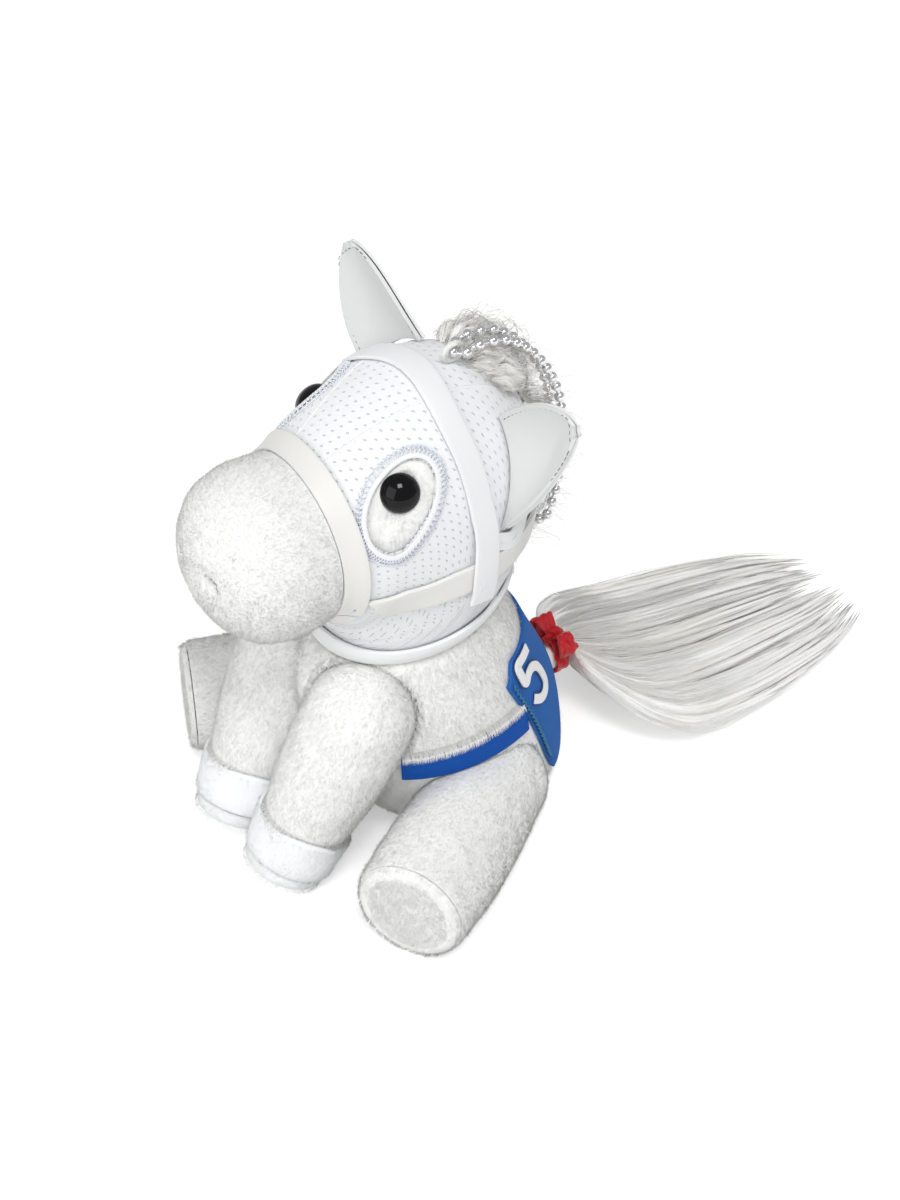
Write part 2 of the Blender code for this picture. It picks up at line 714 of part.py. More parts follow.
def make_hood(build, head):
    """Make the hood's three mesh panels, its hem and its straps."""
    first, last = NOSEBAND_STATION + 0.12, NECK_STATION - 0.05
    nape = 4.9

    def middle(u, v):
        t = mix(first, nape, v)
        angle = mix(-1.0, 1.0, u) * (seam_angle(t) - 3.0 * GAP / HEAD_WIDTH)
        return head_at(t, angle, HOOD_IN)

    build.patch("hood_center", middle, 4, 12, MESH_CLOTH, "mesh", head)
    hood = {}
    for side, sign in (("left", 1.0), ("right", -1.0)):
        def panel(u, v, sign=sign):
            t = mix(first, last, v)
            edge = seam_angle(t) + 3.0 * GAP / HEAD_WIDTH
            if t > nape:
                edge = mix(edge, 2.0 * GAP / HEAD_WIDTH, smooth((t - nape) / 0.7))
            angle = mix(edge, HALF - GAP / HEAD_WIDTH, u)
            return head_at(t, sign * angle, HOOD_IN)
        hood[side] = build.patch(f"hood_{side}", panel, 8, 11, MESH_CLOTH, "mesh", head)

    def hem(u, v):
        point, normal = head_at(NECK_STATION, FULL * u, STRAP_IN)
        down = (head_base(NECK_STATION, FULL * u) - head_base(NECK_STATION - 0.2, FULL * u))
        return point + down.normalized() * mix(-HEM_WIDTH, 0.0, v), normal
    build.patch("hood_hem", hem, 24, 1, HEM_THICKNESS, "white_leather", head, closed=True)
    return hood


def make_straps(build, head):
    """Make the noseband, chin strap, cheek straps and crown strap."""
    around = CHIN_STRAP_ANGLE - GAP / HEAD_WIDTH

    def nose(u):
        return NOSEBAND_STATION, mix(-around, around, u), 0.0
    build.patch("noseband", strip(head_at, head_base, nose, NOSEBAND_WIDTH / 2.0, STRAP_IN), 24, 2, STRAP_THICKNESS,
                "cream_leather", head)

    def chin(u):
        start = CHIN_STRAP_ANGLE + 2.0 * GAP / HEAD_WIDTH
        return NOSEBAND_STATION, mix(start, FULL - start, u), 0.0
    build.patch("chin_strap", strip(head_at, head_base, chin, CHIN_STRAP_WIDTH / 2.0, STRAP_IN), 10, 2,
                STRAP_THICKNESS, "cream_leather", head)
    for side, sign in (("left", 1.0), ("right", -1.0)):
        cheek = head_line(CHEEK_STRAP_SHARES, sign)
        build.patch(f"cheek_strap_{side}",
                    strip(head_at, head_base, cheek, CHEEK_STRAP_WIDTH / 2.0, STRAP_IN), 16, 2,
                    STRAP_THICKNESS, "cream_leather", head)

    rows = [(CROWN_STRAP_STATION, 0.0, 0.0)]
    for side, sign in (("left", 1.0), ("right", -1.0)):
        line = head_line(CROWN_STRAP_SHARES[side], sign)
        steps = len(CROWN_STRAP_SHARES[side]) - 1
        half = [line(k / steps) for k in range(steps + 1)]
        half = [(t, angle, smooth((k - steps + 2.7) / 1.2) * (STRAP_THICKNESS + GAP))
                for k, (t, angle, _) in enumerate(half)]
        rows = rows + half if sign > 0.0 else half[::-1] + rows

    def crown(u):
        return tuple(blend(rows, u * (len(rows) - 1)))
    build.patch("crown_strap",
                strip(head_at, head_base, crown, CROWN_STRAP_WIDTH / 2.0, STRAP_IN),
                CROWN_STRAP_FACES, 2, STRAP_THICKNESS, "white_leather", head)


def ear_seam(side, sign):
    """Return the ear's seam on the hood, a function from its upper to its lower end."""
    (y_high, z_high), (y_low, z_low) = EAR_BASE_SHARES[side]
    high = head_find(y_high * HEAD_LENGTH, z_high * HEAD_HEIGHT, sign, (4.0, 45.0 * DEG))
    low = head_find(y_low * HEAD_LENGTH, z_low * HEAD_HEIGHT, sign, (4.0, 70.0 * DEG))

    def seam(v):
        return head_at(mix(high[0], low[0], v), mix(high[1], low[1], v),
                       HOOD_OUT + EAR_CLEARANCE)[0]
    return seam


def make_ears(build, head):
    """Make each ear's grey front and white back on a hinge at the seam."""
    for side, sign in (("left", 1.0), ("right", -1.0)):
        seam = ear_seam(side, sign)
        upper, lower = seam(0.0), seam(1.0)
        middle = (upper + lower) / 2.0
        across = (lower - upper).normalized()
        x, y, z = EAR_TIP_SHARES[side]
        tip = middle + Vector((sign * x, y, z)) * EAR_LENGTH
        front = across.cross(tip - middle).normalized()
        if front.y > 0.0:
            front.negate()
        basis = Matrix((across, front.cross(across), front)).transposed()
        hinge = build.empty(f"ear_{side}_hinge", middle, basis, head)

        def leaf(u, v, away, seam=seam, middle=middle, tip=tip, front=front):
            reach = 0.975 * v
            spread = (1.0 - reach ** 2.2) ** 0.7
            span = 2.0 * u - 1.0
            base = seam(0.5 + 0.5 * span)
            centre = middle + (tip - middle) * reach
            point = centre + (base - middle) * spread
            cup = EAR_CUP * (span * span - 0.5) * 4.0 * reach * (1.0 - reach)
            return point + front * (cup * spread + away), front

        build.patch(f"ear_front_{side}", lambda u, v, leaf=leaf: leaf(u, v, 0.0), 5, 6,
                    EAR_THICKNESS, "grey_leather", hinge)
        build.patch(f"ear_back_{side}",
                    lambda u, v, leaf=leaf: leaf(u, v, -EAR_THICKNESS - 2.0 * GAP), 5, 6,
                    EAR_THICKNESS, "white_leather", hinge)


def pad_rings(place, columns, rows, thick):
    """Return rings of a pad: a lens of thick(u, v) on place(u, v, out)."""
    rings = []
    for row in range(rows + 1):
        v = row / rows
        under = [place(c / columns, v, 0.0) for c in range(columns + 1)]
        over = [place(c / columns, v, thick(c / columns, v)) for c in range(columns, -1, -1)]
        rings.append(under + over)
    return rings


def make_hair(build, head):
    """Make the poll tuft and the mane down the back of the neck."""
    def tuft(u, v, out):
        t = mix(3.62, 4.62, v)
        half = TUFT_RADIUS * (0.45 + 0.55 * math.sin(HALF * v)) / HEAD_WIDTH * 2.0
        return head_at(t, mix(-half, half, u), MANE_IN + out)[0]

    def tuft_thick(u, v):
        return TUFT_HEIGHT * (0.25 + 0.75 * (math.sin(HALF * u) * math.sin(HALF * v)) ** 0.5)

    build.loft("poll_tuft", pad_rings(tuft, 8, 7, tuft_thick), "hair", head)

    def mane(u, v, out):
        t = mix(4.72, NECK_STATION + 0.0, v)
        half = MANE_WIDTH * (0.30 + 0.20 * math.sin(HALF * min(v + 0.25, 1.0))) / HEAD_WIDTH * 2.0
        base = MANE_IN + smooth((v - 0.55) / 0.3) * (HEM_THICKNESS + GAP * 2.0)
        return head_at(t, mix(-half, half, u), base + out)[0]

    def mane_thick(u, v):
        return MANE_THICKNESS * (0.2 + 0.8 * (math.sin(HALF * u) * math.sin(HALF * (0.12 + 0.8 * v)))
                                 ** 0.5)

    build.loft("neck_mane", pad_rings(mane, 10, 9, mane_thick), "hair", head)


def chain_radii(length):
    """Return distances along a chain and the radius at each: balls on a thin wire."""
    count = max(1, int((length - 2.0 * BALL_RADIUS) / BALL_PITCH) + 1)
    spare = (length - (count - 1) * BALL_PITCH) / 2.0
    stations = [(0.0, CHAIN_WIRE_RADIUS)]
    for ball in range(count):
        middle = spare + ball * BALL_PITCH
        for share in (-0.85, 0.0, 0.85):
            radius = max(CHAIN_WIRE_RADIUS, BALL_RADIUS * math.sqrt(1.0 - share * share))
            stations.append((middle + share * BALL_RADIUS, radius))
    stations.append((length, CHAIN_WIRE_RADIUS))
    return [item for item in stations if 0.0 <= item[0] <= length]


def walk(points, distance):
    """Return the point a distance along a line of points."""
    for low, high in zip(points, points[1:]):
        span = (high - low).length
        if distance <= span:
            return low.lerp(high, distance / span)
        distance -= span
    return points[-1]


def length_of(points):
    """Return the length of a line of points."""
    return sum((b - a).length for a, b in zip(points, points[1:]))


def beads(build, name, route, look, parent):
    """Make one unbroken run of balls along a route."""
    total = length_of(route)
    run = chain_radii(total)
    return build.tube(name, [walk(route, d) for d, _ in run], BALL_RADIUS, look, parent,
                      radii=[r for _, r in run], resolution=1)


def make_chain(build, head):
    """Make the cord loop at the poll and the doubled ball chain that hangs from it."""
    def spine(t, out=CHAIN_OUT):
        return head_at(t, CHAIN_ANGLE, out)[0]

    side = Vector((1.0, 0.0, 0.0))
    reach = CHAIN_LOOP_RADIUS + CHAIN_LOOP_CORD
    anchor = spine(CHAIN_TOP_STATION, MANE_IN + reach)
    normal = head_at(CHAIN_TOP_STATION, CHAIN_ANGLE)[1]
    ahead = side.cross(normal)
    steps = 14
    ring = [anchor + (normal * math.cos(FULL * k / steps) + ahead * math.sin(FULL * k / steps))
            * CHAIN_LOOP_RADIUS for k in range(steps)]
    build.tube("chain_loop", ring, CHAIN_LOOP_CORD, "white_leather", head, cyclic=True)

    lift = build.empty("chain_lift", anchor, None, head)
    samples = 24
    strand = [anchor]
    for k in range(1, samples + 1):
        t = mix(CHAIN_TOP_STATION, CHAIN_BEND_STATION, k / samples)
        share = smooth(k / samples * 4.0)
        strand.append(spine(t).lerp(anchor, 1.0 - share) if share < 1.0 else spine(t))
    bend = strand[-1].copy()
    spread = CHAIN_STRAND_SPREAD
    turn = 8
    top = [anchor + side * spread * math.cos(HALF * k / turn)
           + (strand[4] - anchor).normalized() * spread * (1.0 - math.sin(HALF * k / turn))
           for k in range(turn + 1)]
    far = [p for p in strand if (p - anchor).length > spread * 1.3]
    final = (far[-1] - far[-2]).normalized()
    far[-1] = far[-1] - final * GAP
    route = [p + side * spread for p in far[::-1]] + top + [p - side * spread for p in far]
    beads(build, "ball_chain_upper", route, "steel", lift)

    low = build.empty("chain_bend", bend, None, lift)
    tail = []
    for k in range(samples + 1):
        t = mix(CHAIN_BEND_STATION, CHAIN_END_STATION, k / samples)
        tail.append(spine(t, CHAIN_OUT + smooth(k / samples) * HEM_THICKNESS))
    first = (tail[1] - tail[0]).normalized()
    start = tail[0] + first * (2.0 * GAP)
    cap = start + first * CONNECTOR_LENGTH
    frame = frame_on(start + side * spread, first)
    build.turned("chain_connector",
                 [(0.0, CONNECTOR_LENGTH), (CONNECTOR_RADIUS * 0.8, CONNECTOR_LENGTH),
                  (CONNECTOR_RADIUS, CONNECTOR_LENGTH - GAP), (CONNECTOR_RADIUS, GAP),
                  (CONNECTOR_RADIUS * 0.8, 0.0), (0.0, 0.0)], 16, frame, "steel", low)
    end = tail[-1]
    last = (tail[-1] - tail[-2]).normalized()
    left = [cap + first * GAP] + [p for p in tail if (p - start).length > CONNECTOR_LENGTH + 3 * GAP]
    right = [tail[0] + first * GAP] + [p for p in tail if (p - tail[0]).length > GAP * 3]
    bottom = [end + side * spread * math.cos(HALF * k / turn)
              + last * spread * math.sin(HALF * k / turn) for k in range(1, turn)]
    route = [p + side * spread for p in left] + bottom + [p - side * spread for p in right[::-1]]
    beads(build, "ball_chain_lower", route, "steel", low)


def cloth_edges(angle):
    """Return the number cloth's upper and lower levels at an angle from the spine."""
    share = abs(angle) / CLOTH_TIP_ANGLE
    low = mix(CLOTH_BACK_STATION, CLOTH_TIP_STATION, smooth(share * share))
    past = max(0.0, abs(angle) - CLOTH_TIP_ANGLE) / (CLOTH_ANGLE - CLOTH_TIP_ANGLE)
    low -= past * past * 0.8
    top = CLOTH_TOP_STATION * (1.0 + CLOTH_NOTCH_SHARE * smooth(
        (abs(angle) / CLOTH_ANGLE - 0.84) / 0.16))
    return top, low


def make_cloth(build):
    """Make the number cloth, its numerals, its stitching and the girth."""
    def cloth(u, v):
        angle = mix(-CLOTH_ANGLE, CLOTH_ANGLE, u)
        top, low = cloth_edges(angle)
        return body_at(mix(top, low, v), angle * mix(1.0, CLOTH_LOW_ANGLE / CLOTH_ANGLE, v),
                       CLOTH_IN)
    build.patch("number_cloth", cloth, 16, 6, CLOTH_THICKNESS, "cloth")

    for side, sign in (("left", 1.0), ("right", -1.0)):
        middle = body_base(NUMERAL_STATION, sign * NUMERAL_ANGLE)
        per_level = (body_base(NUMERAL_STATION + 0.5, sign * NUMERAL_ANGLE)
                     - body_base(NUMERAL_STATION - 0.5, sign * NUMERAL_ANGLE)).length
        per_radian = (body_base(NUMERAL_STATION, sign * (NUMERAL_ANGLE + 0.1))
                      - body_base(NUMERAL_STATION, sign * (NUMERAL_ANGLE - 0.1))).length / 0.2

        def stroke(u, sign=sign, per_level=per_level, per_radian=per_radian):
            p, q = blend(NUMERAL_PATH_SHARES, u * (len(NUMERAL_PATH_SHARES) - 1))
            level = NUMERAL_STATION - q * NUMERAL_HEIGHT / per_level
            angle = NUMERAL_ANGLE - sign * p * NUMERAL_WIDTH / per_radian
            return level, sign * angle, 0.0
        place = strip(body_at, body_base, stroke, NUMERAL_STROKE / 2.0, CLOTH_OUT + GAP)
        build.patch(f"numeral_{side}", place, 22, 1, NUMERAL_THICKNESS, "numeral")

        count = 16
        points = []
        for k in range(count + 1):
            v = mix(0.04, 0.86, k / count)
            angle = CLOTH_ANGLE - (2.2 + 0.5 * (-1.0) ** k) * DEG
            top, low = cloth_edges(angle)
            angle *= mix(1.0, CLOTH_LOW_ANGLE / CLOTH_ANGLE, v)
            points.append(body_at(mix(top, low, v), sign * angle,
                                  CLOTH_OUT + GAP + STITCH_RADIUS)[0])
        build.tube(f"stitches_{side}", points, STITCH_RADIUS, "thread", resolution=0)

    for side, sign in (("left", 1.0), ("right", -1.0)):
        def girth(u, sign=sign):
            angle = mix(CLOTH_ANGLE + 4.0 * GAP / BODY_WIDTH, GIRTH_END_ANGLE, u)
            return mix(GIRTH_SIDE_STATION, GIRTH_CHEST_STATION, smooth(u)), sign * angle, 0.0
        build.patch(f"girth_{side}",
                    strip(body_at, body_base, girth, GIRTH_WIDTH / 2.0, CLOTH_IN), 10, 2,
                    CLOTH_THICKNESS, "girth")


def make_tail(build):
    """Make the tail's root, its long hair on the ground and its satin bow."""
    level = 5.0
    for _ in range(12):
        level += (body_base(level, 0.0).z - TAIL_ROOT_HEIGHT) / (BODY_HEIGHT * 0.17)
    rump = body_base(level, 0.0)
    radius = TAIL_ROOT_RADIUS
    swing = Vector((0.0, rump.y + GAP * 1.5 + radius, TAIL_ROOT_HEIGHT))
    root = build.empty("tail_root_hinge", swing)
    frame = Matrix.Translation(swing) @ Matrix.Rotation(-QUARTER, 4, "X")
    steps = 5
    back = TAIL_ROOT_STRAIGHT
    profile = [(radius * math.sin(QUARTER * k / steps), back + radius * math.cos(QUARTER * k / steps))
               for k in range(steps + 1)]
    profile += [(radius * math.cos(QUARTER * k / steps), -radius * math.sin(QUARTER * k / steps))
                for k in range(steps + 1)]
    profile[0], profile[-1] = (0.0, back + radius), (0.0, -radius)
    build.turned("tail_root", profile, 16, frame, "hair", root)

    pivot = swing + Vector((0.0, back, 0.0))
    hinge = build.empty("tail_hinge", pivot, None, root)
    start = pivot.y + radius + GAP
    rings = []
    levels = [k / 10.0 for k in range(11)]
    for share in levels:
        along, height, wide, deep = blend(TAIL_STATION_SHARES,
                                          share * (len(TAIL_STATION_SHARES) - 1))
        half_deep = deep * TAIL_DEPTH
        z = height * TAIL_ROOT_HEIGHT
        z = max(z, half_deep + GAP)
        y = start + along * TAIL_LENGTH
        side = math.sin(QUARTER * min(1.0, along * 2.0)) * TAIL_WIDTH * TAIL_SIDE_SHARE
        ring = []
        sides = 16
        for k in range(sides):
            turn = FULL * k / sides
            ring.append(Vector((side + wide * TAIL_WIDTH * math.sin(turn), y,
                                z + half_deep * math.cos(turn))))
        rings.append(ring)
    build.loft("tail_hair", rings, "hair", hinge)

    inner = radius + GAP
    outer = inner + STRAP_THICKNESS
    near, far = back - 0.48 * radius, back + 0.6 * radius
    ring = [(inner, far), (outer, far), (outer, near), (inner, near), (inner, far)]
    build.turned("ribbon_wrap", ring, 20, frame, "satin", root)
    rise = outer + GAP + BOW_THICKNESS + BOW_HEIGHT * 0.12
    for side, sign in (("left", 1.0), ("right", -1.0)):
        def loop(u, v, sign=sign):
            turn = FULL * u
            across = (1.0 - math.cos(turn)) / 2.0
            x = GAP + BOW_THICKNESS * 1.2 + BOW_LENGTH * across
            z = BOW_HEIGHT / 2.0 * math.sin(turn) * (0.35 + 0.65 * across)
            y = mix(-1.0, 1.0, v) * BOW_WIDTH / 2.0 * (0.5 + 0.5 * across)
            point = swing + Vector((sign * x, back + y, z + rise))
            outward = Vector((-sign * math.cos(turn), 0.0, math.sin(turn)))
            return point, outward
        build.patch(f"bow_{side}", loop, 16, 1, BOW_THICKNESS, "satin", root, closed=True)


def front_leg_point(sign, place):
    """Return a point on the front leg's middle line; place runs 0 to 5 down the leg."""
    ahead, drop = blend(FRONT_LEG_PATH_SHARES, place)
    shoulder = Vector((SHOULDER_SHARES[0] * BODY_WIDTH * sign, SHOULDER_SHARES[1] * BODY_LENGTH,
                       SHOULDER_SHARES[2] * BODY_HEIGHT))
    foot = Vector((FRONT_FOOT_SPREAD * sign, -FRONT_FOOT_FORWARD, FRONT_FOOT_HEIGHT))
    return Vector((mix(shoulder.x, foot.x, ahead), mix(shoulder.y, foot.y, ahead),
                   mix(shoulder.z, foot.z, drop)))


def front_leg_at(sign, place, angle, out=0.0):
    """Return point and normal on the front leg's surface."""
    step = 0.05
    low, high = max(place - step, 0.0), min(place + step, 5.0)
    axis = (front_leg_point(sign, high) - front_leg_point(sign, low)).normalized()
    side, ahead = limb_axes(axis)
    normal = side * math.cos(angle) + ahead * math.sin(angle)
    radius = blend(FRONT_LEG_RADIUS_SHARES, place)[0] * FRONT_LEG_RADIUS
    return front_leg_point(sign, place) + normal * (radius + out), normal


def limb_axes(axis):
    """Return the two directions across a limb, as its rings use them."""
    ahead = Vector((1.0, 0.0, 0.0)).cross(axis).normalized()
    return axis.cross(ahead).normalized(), ahead


def root_rings(centre, axis, radius, sides, steps=4):
    """Return the rings of a half sphere that closes a limb's root."""
    side, ahead = limb_axes(axis)
    rings = [[centre - axis * radius]]
    for k in range(1, steps):
        lift = QUARTER * k / steps
        rings.append([centre - axis * radius * math.cos(lift)
                      + (side * math.cos(FULL * i / sides) + ahead * math.sin(FULL * i / sides))
                      * radius * math.sin(lift) for i in range(sides)])
    return rings


def make_front_legs(build, torso, ground):
    """Make the front legs with their bands and hooves, and their room in the body."""
    sides = 16
    hoof_place = place_from_foot(HOOF_HEIGHT)
    band_low = place_from_foot(HOOF_HEIGHT + 2.0 * GAP)
    band_high = place_from_foot(HOOF_HEIGHT + 2.0 * GAP + BAND_HEIGHT)
    for side, sign in (("left", 1.0), ("right", -1.0)):
        shoulder = front_leg_point(sign, 0.0)
        hinge = build.empty(f"front_leg_{side}_hinge", shoulder)
        axis = (front_leg_point(sign, 0.05) - shoulder).normalized()

        def rings(out, end, count=6, sign=sign, axis=axis, shoulder=shoulder):
            made = root_rings(shoulder, axis, FRONT_LEG_RADIUS + out, sides)
            for k in range(count + 1):
                place = end * k / count
                made.append([front_leg_at(sign, place, FULL * i / sides, out)[0]
                             for i in range(sides)])
            return made

        build.loft(f"front_leg_{side}", rings(0.0, hoof_place), "plush", hinge, wall=SKIN,
                   open_end=True)
        build.loft(f"front_leg_stuffing_{side}", rings(-SKIN - GAP, hoof_place), "stuffing", hinge)
        share = place_from_foot(HOOF_HEIGHT - GAP)
        hoof = []
        for place, out in ((share, 0.0), (mix(share, 5.0, 0.4), GAP), (mix(share, 5.0, 0.8), 0.0),
                           (5.0, -GAP * 6.0)):
            ring = []
            for i in range(sides):
                point, normal = front_leg_at(sign, place, FULL * i / sides, out)
                ring.append(point)
            hoof.append(ring)
        build.cut(build.loft(f"front_hoof_{side}", hoof, "hoof", hinge), ground)

        def band(u, v, sign=sign):
            return front_leg_at(sign, mix(band_low, band_high, v), FULL * u, GAP)
        build.patch(f"front_band_{side}", band, 16, 2, BAND_THICKNESS, "felt", hinge, closed=True)
        half = FRONT_SWING / 2.0
        lean = Matrix.Rotation(-half, 3, "X")
        socket = root_rings(shoulder, axis, FRONT_LEG_RADIUS + LEG_CLEARANCE, sides)
        steps = 7
        for k in range(steps + 1):
            place = 3.2 * k / steps
            middle = front_leg_point(sign, place)
            spread = (middle - shoulder).length * math.tan(half)
            ring = []
            for i in range(sides):
                turn = FULL * i / sides
                point, normal = front_leg_at(sign, place, turn, LEG_CLEARANCE)
                ahead = front_leg_at(sign, place, QUARTER)[1]
                point = point + ahead * spread * math.sin(turn)
                ring.append(shoulder + lean @ (point - shoulder))
            socket.append(ring)
        cutter = build.loft(f"front_socket_{side}", socket, None, cutter=True)
        for piece in torso:
            build.cut(piece, cutter)


def place_from_foot(distance):
    """Return the place on the front leg's middle line a distance from its foot."""
    length = (front_leg_point(1.0, 0.0) - front_leg_point(1.0, 5.0)).length
    return 5.0 * (1.0 - distance / length)


def make_ground(build):
    """Make the block that cuts the limbs flat where they lie on the ground."""
    deep = BODY_HEIGHT
    bpy.ops.mesh.primitive_cube_add(size=1.0)
    ground = bpy.context.object
    ground.name = "ground_cutter"
    for holder in list(ground.users_collection):
        holder.objects.unlink(ground)
    build.as_cutter(ground)
    ground.scale = (6.0 * BODY_WIDTH, 6.0 * BODY_LENGTH, deep)
    ground.location = (0.0, 0.0, -deep / 2.0)
    return ground


def make_hind_legs(build, torso, ground):
    """Make the hind legs that lie on the ground, with their soles."""
    sides = 16
    height = HIND_LEG_RADIUS - FLAT_DEPTH
    for side, sign in (("left", 1.0), ("right", -1.0)):
        hip = Vector((HIP_SHARES[0] * BODY_WIDTH * sign, HIP_SHARES[1] * BODY_LENGTH, height))
        hinge = build.empty(f"hind_leg_{side}_hinge", hip)
        length = HIND_LEG_LENGTH[side]
        splay = HIND_LEG_SPLAY[side]
        axis = Vector((math.sin(splay) * sign, -math.cos(splay), 0.0))
        across, rise = limb_axes(axis)

        def ring(share, out, origin, axis=axis, across=across):
            radius = blend(HIND_LEG_RADIUS_SHARES, share * 3.0)[0] * HIND_LEG_RADIUS + out
            middle = origin + axis * length * share
            return [middle + (across * math.cos(FULL * i / sides) + rise * math.sin(FULL * i / sides))
                    * radius for i in range(sides)]

        def rings(out, end, origin, count=4, axis=axis, ring=ring):
            radius = HIND_LEG_RADIUS_SHARES[0][0] * HIND_LEG_RADIUS + out
            made = root_rings(origin, axis, radius, sides)
            return made + [ring(end * k / count, out, origin) for k in range(count + 1)]

        end = 1.0 - (SOLE_THICKNESS + GAP) / length
        skin = build.loft(f"hind_leg_{side}", rings(0.0, end, hip), "plush", hinge, wall=SKIN,
                          open_end=True)
        build.loft(f"hind_leg_stuffing_{side}", rings(-SKIN - GAP, end, hip), "stuffing", hinge)
        face = 1.0 - SOLE_THICKNESS / length
        sole = build.loft(f"hind_sole_{side}",
                          [ring(face, -SKIN * 0.4, hip), ring(mix(face, 1.0, 0.6), -SKIN * 0.4, hip),
                           ring(1.0, -SKIN * 1.6, hip)], "muzzle", hinge)
        build.cut(skin, ground)
        build.cut(sole, ground)
        socket = root_rings(hip, axis, HIND_LEG_RADIUS_SHARES[0][0] * HIND_LEG_RADIUS
                            + LEG_CLEARANCE, sides)
        steps = 5
        for k in range(steps + 1):
            share = 0.62 * k / steps
            spread = length * share * math.tan(HIND_SWING)
            socket.append([point + across * spread * math.cos(FULL * i / sides)
                           for i, point in enumerate(ring(share, LEG_CLEARANCE, hip))])
        cutter = build.loft(f"hind_socket_{side}", socket, None, cutter=True)
        for piece in torso:
            build.cut(piece, cutter)


def main():
    """Build the whole horse."""
    clear_scene()
    build = Builder()
    head = build.empty("head", neck_centre())
    torso = make_torso(build)
    skin, stuffing = make_head(build, head)
    make_muzzle(build, head)
    hood = make_hood(build, head)
    make_eyes(build, head, skin, stuffing, hood)
    make_straps(build, head)
    make_ears(build, head)
    make_hair(build, head)
    make_chain(build, head)
    make_cloth(build)
    make_tail(build)
    ground = make_ground(build)
    make_front_legs(build, torso, ground)
    make_hind_legs(build, torso, ground)


if __name__ == "__main__":
    main()
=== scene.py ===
"""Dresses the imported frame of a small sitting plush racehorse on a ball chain.

The horse faces -Y, its left side is +X and it sits on Z = 0. Each
sub-assembly is a class: body, head, hood, straps, ears, hair, chain, cloth,
tail and legs. The studio holds the floor, the lamps and the camera.
"""

import json
import logging
import math
from dataclasses import dataclass
from enum import Enum
from typing import Callable, Optional, Sequence

import bpy
import numpy as np
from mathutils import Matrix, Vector
from mathutils.bvhtree import BVHTree

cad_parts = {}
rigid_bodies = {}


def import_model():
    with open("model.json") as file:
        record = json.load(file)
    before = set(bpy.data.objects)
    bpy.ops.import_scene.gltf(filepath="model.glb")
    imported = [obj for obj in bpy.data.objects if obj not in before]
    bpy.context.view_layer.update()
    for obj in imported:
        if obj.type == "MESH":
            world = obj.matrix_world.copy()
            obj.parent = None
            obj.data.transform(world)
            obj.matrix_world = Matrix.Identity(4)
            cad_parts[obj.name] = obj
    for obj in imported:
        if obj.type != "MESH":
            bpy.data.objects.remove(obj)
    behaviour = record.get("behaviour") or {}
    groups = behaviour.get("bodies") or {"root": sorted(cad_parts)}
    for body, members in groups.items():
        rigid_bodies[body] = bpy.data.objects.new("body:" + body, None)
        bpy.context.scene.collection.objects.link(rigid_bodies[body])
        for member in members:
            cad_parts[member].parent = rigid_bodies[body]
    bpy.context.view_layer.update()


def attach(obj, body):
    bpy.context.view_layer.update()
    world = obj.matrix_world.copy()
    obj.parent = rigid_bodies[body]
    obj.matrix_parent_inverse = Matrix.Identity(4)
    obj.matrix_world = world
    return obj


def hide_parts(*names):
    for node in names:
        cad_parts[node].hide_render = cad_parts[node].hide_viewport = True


LOG = logging.getLogger("plush_horse")
MM = 0.001
DEG = math.pi / 180.0
TAU = 2.0 * math.pi
GAP = 0.3 * MM

Array = np.ndarray
Colour = tuple[float, float, float]
Triple = tuple[Array, Array, Array]
Place = Callable[[Array, Array, float], Array]
Route = Callable[[Array], Triple]
Change = Callable[[Array, Array], Array]
Keep = Callable[[Array, Array, Array], Array]
Object = bpy.types.Object
Socket = bpy.types.NodeSocket
Node = bpy.types.Node
NodeTree = bpy.types.NodeTree


class Side(Enum):
    """The horse's two sides; the value is the sign of X."""

    LEFT = 1.0
    RIGHT = -1.0

    @property
    def word(self) -> str:
        """Return the side's name as the nodes use it."""
        return self.name.lower()

    def pick(self, left: object, right: object) -> object:
        """Return the one of two values that is this side's."""
        return left if self is Side.LEFT else right


class Slot(str, Enum):
    """The record's material slots."""

    PLUSH = "white_plush"
    STUFFING = "stuffing"
    SHORT = "short_plush"
    MESH = "sports_mesh"
    WHITE_LEATHER = "white_leatherette"
    BEIGE_LEATHER = "beige_leatherette"
    GREY_LEATHER = "grey_leatherette"
    EYE = "eye_plastic"
    WASHER = "washer_plastic"
    HAIR = "hair"
    CORD = "white_cord"
    METAL = "chain_metal"
    BLUE = "blue_cloth"
    GIRTH = "girth_cloth"
    NUMERAL = "white_numeral"
    THREAD = "teal_thread"
    SATIN = "red_satin"
    FELT = "white_felt"
    HOOF = "hoof_felt"


# Arithmetic on rows of points


def unit(vectors: Array) -> Array:
    """Return vectors with length one."""
    return vectors / np.maximum(np.linalg.norm(vectors, axis=-1, keepdims=True), 1e-12)


def ease(value: Array) -> Array:
    """Return the smooth step of values held between 0 and 1."""
    value = np.clip(value, 0.0, 1.0)
    return value * value * (3.0 - 2.0 * value)


def lerp(low: Array, high: Array, share: Array) -> Array:
    """Return the value a share of the way from low to high."""
    return low + (high - low) * share


def curve(rows: Sequence[Sequence[float]], place: Array) -> Array:
    """Return the values at places along a smooth curve through rows.

    Args:
        rows: The values that the curve passes through.
        place: Where to read it; 0 is the first row, 1 the second.

    Returns:
        One row of values for each place.
    """
    table = np.asarray(rows, float)
    last = len(table) - 1
    place = np.clip(np.atleast_1d(np.asarray(place, float)), 0.0, last)
    first = np.minimum(place.astype(int), last - 1)
    t = (place - first)[:, None]
    a, b = table[np.maximum(first - 1, 0)], table[first]
    c, d = table[first + 1], table[np.minimum(first + 2, last)]
    return 0.5 * (2.0 * b + (c - a) * t + (2.0 * a - 5.0 * b + 4.0 * c - d) * t * t
                  + (3.0 * b - a - 3.0 * c + d) * t ** 3)


